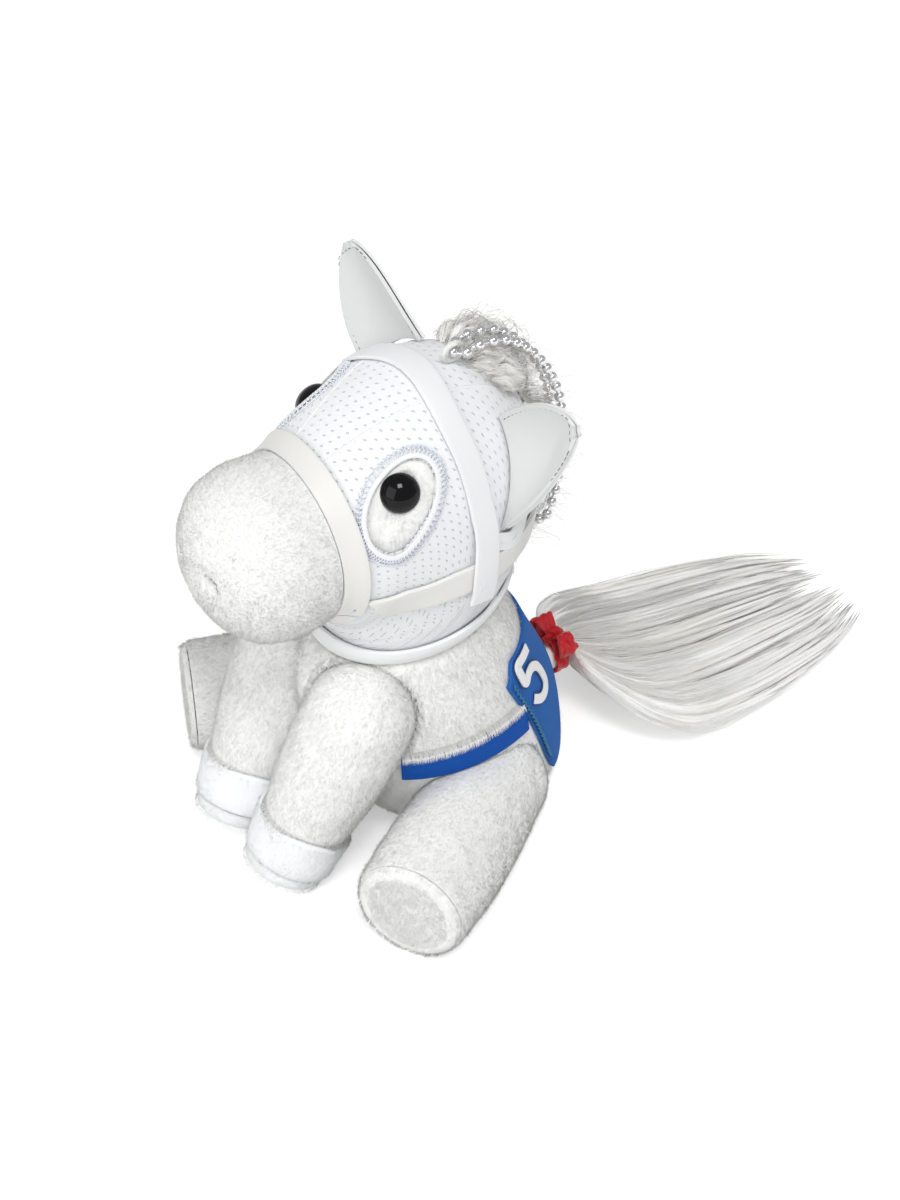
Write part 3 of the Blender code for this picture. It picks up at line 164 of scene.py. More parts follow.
def drift(points: Array, size: float, seed: int) -> Array:
    """Return a smooth wandering direction at each point.

    Args:
        points: Where to read it.
        size: About how far apart its swells lie.
        seed: Picks one of many such fields.

    Returns:
        A vector of about length one for each point.
    """
    rng = np.random.default_rng(seed)
    total = np.zeros_like(points)
    for _ in range(6):
        wave = unit(rng.normal(size=3)) * TAU / (size * rng.uniform(0.6, 1.6))
        total += np.sin(points @ wave + rng.uniform(0.0, TAU))[:, None] * rng.normal(size=3)
    return total / math.sqrt(6.0)


def row3(x: Array, y: Array, z: Array) -> Array:
    """Return points from their three coordinates."""
    return np.stack(np.broadcast_arrays(x, y, z), axis=-1).astype(float)


# Surfaces that the horse's forms follow


class Form:
    """A rounded surface laid out by a level along it and an angle around it."""

    def base(self, level: Array, angle: Array) -> Array:
        """Return the surface's points."""
        raise NotImplementedError

    def centre(self, level: Array) -> Array:
        """Return the middle of the section at each level."""
        raise NotImplementedError

    def spans(self, level: Array, angle: Array, step: float) -> tuple[Array, Array]:
        """Return the way between the points a step before and after, along and around."""
        return (self.base(level + step, angle) - self.base(level - step, angle),
                self.base(level, angle + step) - self.base(level, angle - step))

    def paces(self, level: float, angle: float, step: float = 0.1) -> list[float]:
        """Return the distances that one unit of level and one of angle make at a place."""
        return [np.linalg.norm(span) / (2.0 * step)
                for span in self.spans(np.array([level]), np.array([angle]), step)]

    def at(self, level: Array, angle: Array, out: Array = 0.0) -> tuple[Array, Array]:
        """Return points out from the surface, and its outward normals.

        Args:
            level: The place along the form.
            angle: The angle around it.
            out: How far outside the surface the points lie.

        Returns:
            The points and the normals.
        """
        level, angle, out = (a.ravel() for a in np.broadcast_arrays(
            np.atleast_1d(np.asarray(level, float)), angle, out))
        point = self.base(level, angle)
        normal = unit(np.cross(*self.spans(level, angle, 0.02)))
        inside = np.einsum("ij,ij->i", normal, point - self.centre(level)) < 0.0
        normal[inside] *= -1.0
        return point + normal * out[:, None], normal


@dataclass(frozen=True)
class HeadForm(Form):
    """The head's surface; angle 0 is the crown and a quarter turn the left cheek."""

    length: float = 50.0 * MM
    height: float = 60.0 * MM
    width: float = 48.0 * MM
    neck: tuple = (0.0, -14.0 * MM, 60.0 * MM)
    last: float = 7.0
    stations: tuple = (
        (-0.525, 0.205, -0.590, 0.765, 0.362), (-0.455, 0.168, -0.500, 0.785, 0.382),
        (-0.430, 0.113, -0.240, 0.920, 0.450), (-0.410, 0.087, 0.050, 1.010, 0.482),
        (-0.400, 0.053, 0.380, 0.945, 0.500), (-0.396, 0.017, 0.570, 0.700, 0.498),
        (-0.392, -0.025, 0.565, 0.367, 0.456), (-0.390, -0.067, 0.430, 0.092, 0.392))

    def section(self, level: Array) -> Triple:
        """Return each section's middle, its half axis to the crown and its half width."""
        rows = curve(self.stations, level)
        throat = row3(0.0, rows[:, 0] * self.length, rows[:, 1] * self.height)
        crown = row3(0.0, rows[:, 2] * self.length, rows[:, 3] * self.height)
        return (throat + crown) / 2.0 + self.neck, (crown - throat) / 2.0, rows[:, 4] * self.width

    def centre(self, level: Array) -> Array:
        """Return the middle of the section at each level."""
        return self.section(level)[0]

    def base(self, level: Array, angle: Array) -> Array:
        """Return the surface's points."""
        middle, up, half = self.section(level)
        return middle + up * np.cos(angle)[:, None] + row3(half * np.sin(angle), 0.0, 0.0)

    def find(self, y: float, z: float, start: tuple[float, float]) -> tuple[float, float]:
        """Return the level and angle of the left side's point at y and z, as shares."""
        level, angle = start
        y, z = y * self.length + self.neck[1], z * self.height + self.neck[2]
        small = 0.001
        for _ in range(30):
            here, lower, round_ = self.base(np.array([level, level + small, level]),
                                            np.array([angle, angle, angle + small]))
            by_level, by_angle = (lower - here) / small, (round_ - here) / small
            dy, dz = y - here[1], z - here[2]
            scale = by_level[1] * by_angle[2] - by_level[2] * by_angle[1]
            level += max(-0.4, min(0.4, (dy * by_angle[2] - dz * by_angle[1]) / scale))
            angle += max(-0.3, min(0.3, (by_level[1] * dz - by_level[2] * dy) / scale))
        return level, angle

    def line(self, shares: Sequence[Sequence[float]], side: Side) -> list[tuple]:
        """Return the levels and angles of a line of side points given as shares."""
        found, start = [], (3.5, 80.0 * DEG)
        for y, z in shares:
            start = self.find(y, z, start)
            found.append((start[0], side.value * start[1], 0.0))
        return found


@dataclass(frozen=True)
class BodyForm(Form):
    """The body's surface; angle 0 is the spine and a quarter turn the left side."""

    length: float = 60.0 * MM
    height: float = 60.0 * MM
    width: float = 53.0 * MM
    seat: float = 8.0
    stations: tuple = (
        (-0.630, 0.892, 0.160, 0.985, 0.392), (-0.683, 0.792, 0.210, 0.842, 0.435),
        (-0.692, 0.667, 0.275, 0.692, 0.478), (-0.663, 0.500, 0.358, 0.517, 0.500),
        (-0.608, 0.333, 0.408, 0.342, 0.510), (-0.525, 0.167, 0.433, 0.167, 0.500),
        (-0.425, 0.058, 0.417, 0.058, 0.456), (-0.317, 0.000, 0.358, 0.000, 0.370))

    def rows(self) -> list[tuple]:
        """Return front Y, Z, rear Y, Z and half width of each level, the neck first."""
        middle, up, half = HEAD.section(np.array([HEAD.last]))
        front, rear = middle[0] - up[0], middle[0] + up[0]
        drop = 1.2 * GAP
        made = [(front[1], front[2] - drop, rear[1], rear[2] - drop, half[0])]
        for fy, fz, ry, rz, wide in self.stations:
            made.append((fy * self.length, fz * self.height, ry * self.length,
                         rz * self.height, wide * self.width))
        return made

    def centre(self, level: Array) -> Array:
        """Return the middle of the section at each level."""
        rows = curve(BODY_ROWS, level)
        return row3(0.0, (rows[:, 0] + rows[:, 2]) / 2.0, (rows[:, 1] + rows[:, 3]) / 2.0)

    def base(self, level: Array, angle: Array) -> Array:
        """Return the surface's points."""
        rows = curve(BODY_ROWS, level)
        half = row3(0.0, (rows[:, 2] - rows[:, 0]) / 2.0, (rows[:, 3] - rows[:, 1]) / 2.0)
        side = row3(rows[:, 4] * np.sin(angle), 0.0, 0.0)
        return self.centre(level) + half * np.cos(angle)[:, None] + side


HEAD = HeadForm()
BODY = BodyForm()
BODY_ROWS = BODY.rows()

# Heights of the layers over the head and the body
HOOD_IN = 2.6 * GAP
MESH_CLOTH = 0.8 * MM
HOOD_OUT = HOOD_IN + MESH_CLOTH
STRAP_THICKNESS = 0.9 * MM
STRAP_IN = HOOD_OUT + 1.3 * GAP
STRAP_OUT = STRAP_IN + STRAP_THICKNESS
MANE_IN = HOOD_OUT + GAP
MANE_OUT = MANE_IN + 6.0 * MM
CLOTH_IN = GAP
CLOTH_THICKNESS = 0.9 * MM
CLOTH_OUT = CLOTH_IN + CLOTH_THICKNESS


@dataclass(frozen=True)
class MuzzleForm(Form):
    """The muzzle's surface, ring by ring ahead of the face; angle 0 is its top."""

    radius: float = 20.2 * MM
    nostril_spread: float = 6.2 * MM
    nostril_lift: float = 3.0 * MM
    nostril_ahead: float = 1.165
    dimple: float = 1.5 * MM
    rings: tuple = ((0.950, -0.10), (0.985, 0.14), (1.000, 0.40), (0.920, 0.72), (0.740, 0.95),
                    (0.500, 1.11), (0.21, 1.20), (0.0, 1.225))
    drop: float = -0.02

    def axes(self) -> Triple:
        """Return the face's middle, the way it looks and the way up along it."""
        middle, up, _ = HEAD.section(np.array([0.0]))
        rise = unit(up[0])
        ahead = np.cross(np.array([1.0, 0.0, 0.0]), rise)
        return middle[0], ahead * -np.sign(ahead[1]), rise

    def centre(self, level: Array) -> Array:
        """Return the middle of the ring at each level."""
        middle, ahead, rise = self.axes()
        forward = curve(self.rings, level)[:, 1]
        return (middle + ahead * GAP + rise * self.drop * self.radius
                + forward[:, None] * ahead * self.radius)

    def base(self, level: Array, angle: Array) -> Array:
        """Return the surface's points, with the nostrils' two dimples."""
        _, _, rise = self.axes()
        radius = curve(self.rings, level)[:, 0] * self.radius
        around = np.cos(angle)[:, None] * rise + row3(np.sin(angle), 0.0, 0.0)
        points = self.centre(level) + around * radius[:, None]
        for side in Side:
            away = points - self.nostril(side)
            depth = self.dimple * np.exp(-np.sum(away * away, axis=1) / self.dimple ** 2)
            points = points - self.axes()[1] * depth[:, None]
        return points

    def nostril(self, side: Side) -> Array:
        """Return the middle of one nostril's dimple."""
        middle, ahead, rise = self.axes()
        return (middle + ahead * self.nostril_ahead * self.radius + rise * self.nostril_lift
                + np.array([side.value * self.nostril_spread, 0.0, 0.0]))


def limb_axes(axis: Array) -> tuple[Array, Array]:
    """Return the two directions across a limb."""
    ahead = unit(np.cross(np.array([1.0, 0.0, 0.0]), axis))
    return unit(np.cross(axis, ahead)), ahead


@dataclass(frozen=True)
class LimbForm(Form):
    """A stuffed limb: a half sphere as its root, then rings down to its end.

    Levels run from -1 at the root's tip over 0 at the root's middle to 1 at
    the end of the limb.
    """

    root: tuple
    end: tuple
    radius: float
    shares: tuple
    rounding: float = 0.0

    def axis(self) -> Array:
        """Return the direction from the root to the end."""
        return unit(np.subtract(self.end, self.root))

    def length(self) -> float:
        """Return the length from the root's middle to the end."""
        return float(np.linalg.norm(np.subtract(self.end, self.root)))

    def spread(self, level: Array) -> Array:
        """Return the radius at each level."""
        place = np.clip(level, 0.0, 1.0) * (len(self.shares) - 1)
        full = curve([(s,) for s in self.shares], place)[:, 0] * self.radius
        near_end = np.clip((level - 1.0) * self.length() / (3.5 * MM) + 1.0, 0.0, 1.0)
        full = full - self.rounding * (1.0 - np.sqrt(1.0 - 0.98 * near_end * near_end))
        return full * np.sin((1.0 + np.clip(level, -1.0, 0.0)) * math.pi / 2.0)

    def centre(self, level: Array) -> Array:
        """Return the middle of the ring at each level."""
        back = self.shares[0] * self.radius * np.cos((1.0 + np.clip(level, -1.0, 0.0))
                                                     * math.pi / 2.0)
        along = np.clip(level, 0.0, 1.2) * self.length() - back
        return np.asarray(self.root) + along[:, None] * self.axis()

    def base(self, level: Array, angle: Array) -> Array:
        """Return the surface's points, flat where the limb lies on the ground."""
        side, ahead = limb_axes(self.axis())
        ring = np.cos(angle)[:, None] * side + np.sin(angle)[:, None] * ahead
        points = self.centre(level) + ring * self.spread(level)[:, None]
        points[:, 2] = np.maximum(points[:, 2], 0.02 * MM)
        return points

    def holds(self, points: Array, clearance: float) -> Array:
        """Return which points lie inside the limb, or nearer to it than the clearance."""
        away = points - np.asarray(self.root)
        along = np.clip(away @ self.axis(), 0.0, self.length())
        distance = np.linalg.norm(away - along[:, None] * self.axis(), axis=1)
        return distance < self.spread(along / self.length()) + clearance


def front_limb(side: Side) -> LimbForm:
    """Return the form of a front leg, from the shoulder to the foot."""
    return LimbForm((0.272 * BODY.width * side.value, -0.583 * BODY.length, 0.725 * BODY.height),
                    (10.9 * MM * side.value, -55.4 * MM, 3.9 * MM), 12.5 * MM,
                    (1.0, 1.0, 0.96, 0.86, 0.76, 0.73))


def hind_limb(side: Side) -> LimbForm:
    """Return the form of a hind leg, from the hip to the sole."""
    splay, length = side.pick((30.0 * DEG, 47.0 * MM), (23.5 * DEG, 50.0 * MM))
    hip = np.array([0.445 * BODY.width * side.value, -0.055 * BODY.length, 13.0 * MM])
    reach = length * np.array([math.sin(splay) * side.value, -math.cos(splay), 0.0])
    return LimbForm(tuple(hip), tuple(hip + reach), 14.0 * MM, (0.84, 0.96, 1.0, 0.945),
                    1.6 * MM)


LIMBS = [make(side) for make in (front_limb, hind_limb) for side in Side]


def pressed(points: Array, middles: Array, clearance: float = 0.35 * MM) -> tuple[Array, Array]:
    """Push a soft surface in where the legs are sewn against it.

    Args:
        points: Points of the surface.
        middles: What each point is pushed towards.
        clearance: The room that is left around a leg.

    Returns:
        The moved points, and how far each was moved.
    """
    inward = unit(middles - points)
    depth = np.zeros(len(points))

    def held(trial: Array) -> Array:
        """Return which points lie in a limb's room at a depth."""
        moved = points + inward * trial[:, None]
        return np.logical_or.reduce([limb.holds(moved, clearance) for limb in LIMBS])
    step = 0.8 * MM
    for _ in range(34):
        inside = held(depth)
        if not inside.any():
            break
        depth[inside] += step
    for _ in range(6):
        step /= 2.0
        trial = np.maximum(depth - step, 0.0)
        depth = np.where(held(trial), depth, trial)
    return points + inward * depth[:, None], depth


def strip(form: Form, route: Route, half: float) -> Place:
    """Return the layout of a strip on a form.

    Args:
        form: The surface that it lies on.
        route: Gives level, angle and extra height along the strip.
        half: Half the strip's width.

    Returns:
        The place of each point: u runs along the strip and v across it.
    """
    def place(u: Array, v: Array, out: float) -> Array:
        level, angle, lift = route(u)
        after, before = route(u + 0.004), route(u - 0.004)
        ahead = form.base(after[0], after[1]) - form.base(before[0], before[1])
        per_level, per_angle = (span / 0.02 for span in form.spans(level, angle, 0.01))
        normal = unit(np.cross(per_level, per_angle))
        across = unit(np.cross(normal, ahead)) * (half * (2.0 * v - 1.0))[:, None]
        ll, aa, la = (np.einsum("ij,ij->i", p, q) for p, q in (
            (per_level, per_level), (per_angle, per_angle), (per_level, per_angle)))
        one, two = (np.einsum("ij,ij->i", across, p) for p in (per_level, per_angle))
        scale = ll * aa - la * la
        return form.at(level + (one * aa - two * la) / scale,
                       angle + (two * ll - one * la) / scale, out + lift)[0]
    return place


def through(rows: Sequence[Sequence[float]]) -> Route:
    """Return the route of a smooth curve through rows of level, angle and height."""
    def route(u: Array) -> Triple:
        found = curve(rows, u * (len(rows) - 1))
        return found[:, 0], found[:, 1], found[:, 2]
    return route


def ring_route(level: float, start: float, stop: float) -> Route:
    """Return the route around a form at one level."""
    return lambda u: (np.full_like(u, level), lerp(start, stop, u), np.zeros_like(u))


def strip_edges(place: Place) -> Array:
    """Return the points on a strip's two edges, halfway along it."""
    return place(np.array([0.5, 0.5]), np.array([0.0, 1.0]), 0.0)


def shell(form: Form, low: float, high: float, rows: int,
          change: Optional[Change] = None) -> Place:
    """Return the layout of a closed skin between two levels of a form.

    Args:
        form: The surface.
        low: The first level, closed to the section's middle.
        high: The last level, closed in the same way.
        rows: How many rows of faces run from end to end.
        change: Moves the points, given them and their sections' middles.

    Returns:
        The place of each point: u runs around the form and v along it.
    """
    spare = 1.0 / (rows - 2)

    def place(u: Array, v: Array, out: float) -> Array:
        share = v * (1.0 + 2.0 * spare) - spare
        level = lerp(low, high, np.clip(share, 0.0, 1.0))
        points, _ = form.at(level, TAU * u, out)
        middles = form.centre(level)
        if change:
            points = change(points, middles)
        pull = np.clip(np.maximum(-share, share - 1.0) / spare, 0.0, 1.0)
        return lerp(points, middles, pull[:, None])
    return place


# Making pieces


def read_points(obj: Object) -> Array:
    """Return the places of an object's vertices."""
    flat = np.empty(len(obj.data.vertices) * 3, np.float32)
    obj.data.vertices.foreach_get("co", flat)
    return flat.reshape(-1, 3).astype(float)


def write_points(obj: Object, points: Array) -> None:
    """Move an object's vertices to new places."""
    obj.data.vertices.foreach_set("co", points.astype(np.float32).ravel())
    obj.data.update()


def select_only(obj: Object) -> None:
    """Make an object the only selected and the active one."""
    bpy.ops.object.select_all(action="DESELECT")
    obj.select_set(True)
    bpy.context.view_layer.objects.active = obj


def apply_modifiers(obj: Object) -> None:
    """Apply every modifier on an object, in order."""
    select_only(obj)
    for modifier in list(obj.modifiers):
        bpy.ops.object.modifier_apply(modifier=modifier.name)


def cloth_map(obj: Object, u: Array, v: Array, points: Array) -> None:
    """Lay an object's UV map out in decimetres, so that patterns keep their size.

    Args:
        obj: A grid whose vertices are laid out by u and v.
        u: Each vertex's place along the grid.
        v: Each vertex's place across it.
        points: Each vertex's place in space.
    """
    columns, rows = len(np.unique(u.round(5))), len(np.unique(v.round(5)))
    order = np.lexsort((u.round(5), v.round(5)))
    grid = points[order].reshape(rows, columns, 3)
    flat = np.zeros((rows, columns, 2))
    flat[:, 1:, 0] = np.cumsum(np.linalg.norm(np.diff(grid, axis=1), axis=2), axis=1)
    flat[1:, :, 1] = np.cumsum(np.linalg.norm(np.diff(grid, axis=0), axis=2), axis=0)
    per_vertex = np.empty((len(points), 2))
    per_vertex[order] = flat.reshape(-1, 2) * 10.0
    corners = np.empty(len(obj.data.loops), np.int32)
    obj.data.loops.foreach_get("vertex_index", corners)
    obj.data.uv_layers[0].uv.foreach_set("vector", per_vertex[corners].astype(np.float32).ravel())


def panel(name: str, columns: int, rows: int, place: Place, low: float = 0.0,
          wall: float = 0.0, edge: float = 0.0, closed: bool = False,
          hole: Optional[Change] = None) -> Object:
    """Shape a primitive grid to a layout and give it an outward wall.

    Args:
        name: The piece's name.
        columns: Faces along u.
        rows: Faces along v.
        place: The layout.
        low: The height of its inner side.
        wall: The thickness of its wall, if it has one.
        edge: The radius of its rounded edges.
        closed: Whether its borders meet and are joined.
        hole: Gives 1 on the rim of a hole, less inside it.

    Returns:
        The finished object.
    """
    bpy.ops.object.select_all(action="DESELECT")
    bpy.ops.mesh.primitive_grid_add(x_subdivisions=columns, y_subdivisions=rows, size=1.0)
    obj = bpy.context.object
    obj.name = obj.data.name = name
    flat = read_points(obj)
    u, v = flat[:, 0] + 0.5, flat[:, 1] + 0.5
    points = place(u, v, low)
    write_points(obj, points)
    cloth_map(obj, u, v, points)
    facing = np.empty(len(points) * 3, np.float32)
    obj.data.vertices.foreach_get("normal", facing)
    if np.sum(facing.reshape(-1, 3) * (place(u, v, low + 0.2 * MM) - points)) < 0.0:
        obj.data.flip_normals()
    if hole:
        cut_hole(obj, hole(u, v))
    if closed:
        bpy.ops.object.mode_set(mode="EDIT")
        bpy.ops.mesh.select_all(action="SELECT")
        bpy.ops.mesh.remove_doubles(threshold=0.002 * MM)
        bpy.ops.object.mode_set(mode="OBJECT")
    if wall:
        solid = obj.modifiers.new("Wall", "SOLIDIFY")
        solid.thickness, solid.offset = wall, 1.0
        if edge:
            bevel = obj.modifiers.new("Edge", "BEVEL")
            bevel.width, bevel.segments = edge, 2
            bevel.limit_method, bevel.angle_limit = "ANGLE", 50.0 * DEG
        apply_modifiers(obj)
    select_only(obj)
    bpy.ops.object.shade_smooth_by_angle(angle=50.0 * DEG)
    return obj


def cut_hole(obj: Object, reach: Array) -> None:
    """Delete the faces inside a hole.

    Args:
        obj: The object, in object mode.
        reach: For each vertex, less than 1 inside the hole.
    """
    inside = reach < 1.0
    for face in obj.data.polygons:
        face.select = all(inside[i] for i in face.vertices)
    for item in list(obj.data.edges) + list(obj.data.vertices):
        item.select = False
    bpy.ops.object.mode_set(mode="EDIT")
    bpy.ops.mesh.select_mode(type="FACE")
    bpy.ops.mesh.delete(type="FACE")
    bpy.ops.mesh.select_mode(type="VERT")
    bpy.ops.object.mode_set(mode="OBJECT")


def strands(name: str, lines: Array, radii: Array, sides: int = 3, seed: int = 1,
            facing: Optional[Array] = None) -> Object:
    """Make many fine closed strands as one piece.

    Args:
        name: The piece's name.
        lines: The points of each strand, as (strand, point, 3).
        radii: The radius at each point, as (strand, point); the last is a tip.
        sides: How many sides a strand has.
        seed: Turns the strands about themselves.
        facing: The way that the pile faces at each point, as (strand, point, 3);
            its light is then taken from there, as a pile takes it as a whole.

    Returns:
        The object, with a "tip" attribute from 0 at the root to 1 at the tip
        and a "tone" attribute that differs from strand to strand.
    """
    count, steps, _ = lines.shape
    rng = np.random.default_rng(seed)
    along = unit(np.gradient(lines, axis=1))
    across = unit(np.cross(along, rng.normal(size=(count, 1, 3)) + 0.01))
    third = np.cross(along, across)
    turn = (TAU * np.arange(sides) / sides)[None, None, :, None]
    ring = across[:, :-1, None] * np.cos(turn) + third[:, :-1, None] * np.sin(turn)
    body = lines[:, :-1, None] + ring * radii[:, :-1, None, None]
    verts = np.concatenate([body.reshape(count, -1, 3), lines[:, -1:]], axis=1)
    per = verts.shape[1]
    faces = [list(range(sides))[::-1]]
    for k in range(steps - 2):
        for s in range(sides):
            a, b = k * sides + s, k * sides + (s + 1) % sides
            faces.append([a, b, b + sides, a + sides])
    top = (steps - 2) * sides
    faces += [[top + s, top + (s + 1) % sides, per - 1] for s in range(sides)]
    pattern = np.array([i for face in faces for i in face])
    starts = np.cumsum([0] + [len(face) for face in faces[:-1]])
    loops = (pattern[None] + per * np.arange(count)[:, None]).ravel()
    begin = (starts[None] + len(pattern) * np.arange(count)[:, None]).ravel()
    mesh = bpy.data.meshes.new(name)
    mesh.vertices.add(count * per)
    mesh.loops.add(len(loops))
    mesh.polygons.add(len(begin))
    mesh.vertices.foreach_set("co", verts.astype(np.float32).ravel())
    mesh.loops.foreach_set("vertex_index", loops.astype(np.int32))
    mesh.polygons.foreach_set("loop_start", begin.astype(np.int32))
    mesh.update(calc_edges=True)
    mesh.shade_smooth()
    share = np.append(np.repeat(np.arange(steps - 1) / (steps - 1), sides), 1.0)
    tip = mesh.attributes.new("tip", "FLOAT", "POINT")
    tip.data.foreach_set("value", np.tile(share, count).astype(np.float32))
    tone = mesh.attributes.new("tone", "FLOAT", "POINT")
    tone.data.foreach_set("value", np.repeat(rng.random(count), per).astype(np.float32))
    if facing is not None:
        own = np.concatenate([np.repeat(facing[:, :-1], sides, axis=1), facing[:, -1:]], axis=1)
        own = unit(own + rng.normal(size=(count, 1, 3)) * 0.16)
        mesh.normals_split_custom_set_from_vertices(own.reshape(-1, 3).tolist())
    obj = bpy.data.objects.new(name, mesh)
    bpy.context.scene.collection.objects.link(obj)
    return obj


def lock_radii(thick: float, count: int, steps: int) -> Array:
    """Return the radii of locks of hair that swell and then run out in a tip."""
    s = np.linspace(0.0, 1.0, steps)
    return thick * np.tile((0.35 + 0.65 * ease(s * 3.0)) * np.sqrt(1.02 - s), (count, 1))


def hair_radii(thick: float, count: int, steps: int, end: float) -> Array:
    """Return the radii of hairs that thin evenly to a share of their width."""
    return thick * np.linspace(1.0, end, steps)[None] * np.ones((count, 1))


def wavy(lines: Array, size: float, most: float, seed: int) -> Array:
    """Return strands that drift more and more towards their tips."""
    growth = (np.linspace(0.0, most, lines.shape[1]) * MM)[None, :, None]
    return lines + drift(lines.reshape(-1, 3), size, seed).reshape(lines.shape) * growth


def join(pieces: Sequence[Object], name: str) -> Object:
    """Join pieces of one make into one object."""
    select_only(pieces[0])
    for piece in pieces[1:]:
        piece.select_set(True)
    bpy.ops.object.join()
    pieces[0].name = pieces[0].data.name = name
    return pieces[0]


def rod(name: str, line: Array, radii: Array, sides: int = 10, loop: bool = False,
        flat: float = 1.0, up: Optional[Array] = None) -> Object:
    """Shape a grid to a round or flattened bar along a line.

    Args:
        name: The piece's name.
        line: The points of its middle line.
        radii: The half width at each point.
        sides: Faces around it.
        loop: Whether the line closes on itself.
        flat: Its height as a share of its width.
        up: The direction of its height at each point.

    Returns:
        The finished object.
    """
    line = np.asarray(line, float)
    if loop:
        line = np.concatenate([line, line[:1]])
        radii = np.append(radii, radii[0])
        up = None if up is None else np.concatenate([up, up[:1]])
        wide = np.concatenate([line[-2:-1], line, line[1:2]])
        along = unit(wide[2:] - wide[:-2])
    else:
        along = unit(np.gradient(line, axis=0))
    if up is None:
        frame = [unit(np.cross(along[0], np.array([0.31, 0.47, 0.83])))]
        for tangent in along[1:]:
            frame.append(unit(frame[-1] - tangent * (frame[-1] @ tangent)))
        up = np.array(frame)
    across = unit(np.cross(along, up))
    up = np.cross(across, along)
    last = len(line) - 1

    def place(u: Array, v: Array, out: float) -> Array:
        pick = np.clip((u * last).round().astype(int), 0, last)
        turn = TAU * v
        ring = (across[pick] * np.cos(turn)[:, None] + up[pick] * flat * np.sin(turn)[:, None])
        return line[pick] + ring * (radii[pick] + out)[:, None]
    return panel(name, last, sides, place, closed=True)


def ball(name: str, segments: int, rings: int,
         change: Callable[[Array], Array]) -> Object:
    """Return a smooth ball of radius one whose points are then moved by a change."""
    bpy.ops.object.select_all(action="DESELECT")
    bpy.ops.mesh.primitive_uv_sphere_add(segments=segments, ring_count=rings, radius=1.0)
    obj = bpy.context.object
    obj.name = obj.data.name = name
    write_points(obj, change(read_points(obj)))
    bpy.ops.object.shade_smooth()
    return obj


# Finishes


class Wiring:
    """Adds nodes to a tree and joins them."""

    def __init__(self, tree: NodeTree) -> None:
        """Keep the tree that the nodes go to."""
        self.tree = tree

    def add(self, kind: str, settings: Optional[dict] = None,
            feeds: Optional[dict] = None) -> Node:
        """Add a node.

        Args:
            kind: The node's type.
            settings: Values of its properties.
            feeds: Values or links for its inputs, by name or number.

        Returns:
            The node.
        """
        node = self.tree.nodes.new(kind)
        for key, value in (settings or {}).items():
            setattr(node, key, value)
        for key, value in (feeds or {}).items():
            if isinstance(value, Socket):
                self.tree.links.new(value, node.inputs[key])
            else:
                node.inputs[key].default_value = value
        return node

    def sum(self, operation: str, *values: object) -> Socket:
        """Return the outcome of one step of arithmetic."""
        return self.add("ShaderNodeMath", {"operation": operation},
                        dict(enumerate(values))).outputs[0]

    def noise(self, place: Socket, scale: object,
              detail: float) -> Socket:
        """Return a cloudy value at a place."""
        return self.add("ShaderNodeTexNoise", None, {"Vector": place, "Scale": scale,
                                                     "Detail": detail}).outputs[0]

    def stretch(self, place: Socket, scale: tuple) -> Socket:
        """Return a place with each of its coordinates scaled."""
        return self.add("ShaderNodeMapping", None, {"Vector": place, "Scale": scale}).outputs[0]

    def cloth_place(self) -> Socket:
        """Return the place on the cloth's own map in millimetres."""
        return self.stretch(self.add("ShaderNodeUVMap").outputs[0], (100.0, 100.0, 100.0))

    def group(self, tree: NodeTree, feeds: dict) -> bpy.types.NodeOutputs:
        """Return the outputs of a shared effect."""
        return self.add("ShaderNodeGroup", {"node_tree": tree}, feeds).outputs

    def paint(self, shader: Node, mask: Socket, low: Colour,
              high: Colour) -> None:
        """Give a shader a colour that a mask mixes between two."""
        node = self.add("ShaderNodeMix", {"data_type": "RGBA"},
                        {0: mask, 6: (*low, 1.0), 7: (*high, 1.0)})
        self.tree.links.new(node.outputs[2], shader.inputs["Base Color"])

    def bump(self, shader: Node, height: Socket, depth: float) -> None:
        """Raise a shader's surface by a height, to a depth in metres."""
        node = self.add("ShaderNodeBump", None, {"Height": height, "Distance": depth})
        self.tree.links.new(node.outputs[0], shader.inputs["Normal"])


def effect(name: str, inputs: dict, outputs: Sequence[str],
           build: Callable[[Wiring, Node], Sequence]) -> NodeTree:
    """Return a shared effect as a node group, made once.

    Args:
        name: The group's name.
        inputs: The name and default of each input; a vector has three numbers.
        outputs: The names of its outputs.
        build: Adds its nodes and returns the sockets of the outputs.

    Returns:
        The group.
    """
    found = bpy.data.node_groups.get(name)
    if found:
        return found
    tree = bpy.data.node_groups.new(name, "ShaderNodeTree")
    for label, value in inputs.items():
        kind = "NodeSocketVector" if isinstance(value, tuple) else "NodeSocketFloat"
        tree.interface.new_socket(label, in_out="INPUT", socket_type=kind).default_value = value
    for label in outputs:
        tree.interface.new_socket(label, in_out="OUTPUT", socket_type="NodeSocketFloat")
    wiring = Wiring(tree)
    start, end = tree.nodes.new("NodeGroupInput"), tree.nodes.new("NodeGroupOutput")
    for label, socket in zip(outputs, build(wiring, start)):
        tree.links.new(socket, end.inputs[label])
    return tree


def grain_effect() -> NodeTree:
    """Return the pebbled grain of leatherette and felt."""
    def build(w: Wiring, start: Node) -> Sequence:
        place, scale = start.outputs["Place"], start.outputs["Scale"]
        cells = w.add("ShaderNodeTexVoronoi", {"feature": "SMOOTH_F1"},
                      {"Vector": place, "Scale": scale})
        height = w.sum("ADD", w.sum("MULTIPLY", cells.outputs["Distance"], 0.6),
                       w.sum("MULTIPLY", w.noise(place, scale, 4.0), 0.6))
        return height, w.noise(place, 90.0, 2.0)
    return effect("grain", {"Place": (0.0, 0.0, 0.0), "Scale": 2500.0}, ("Height", "Tone"), build)


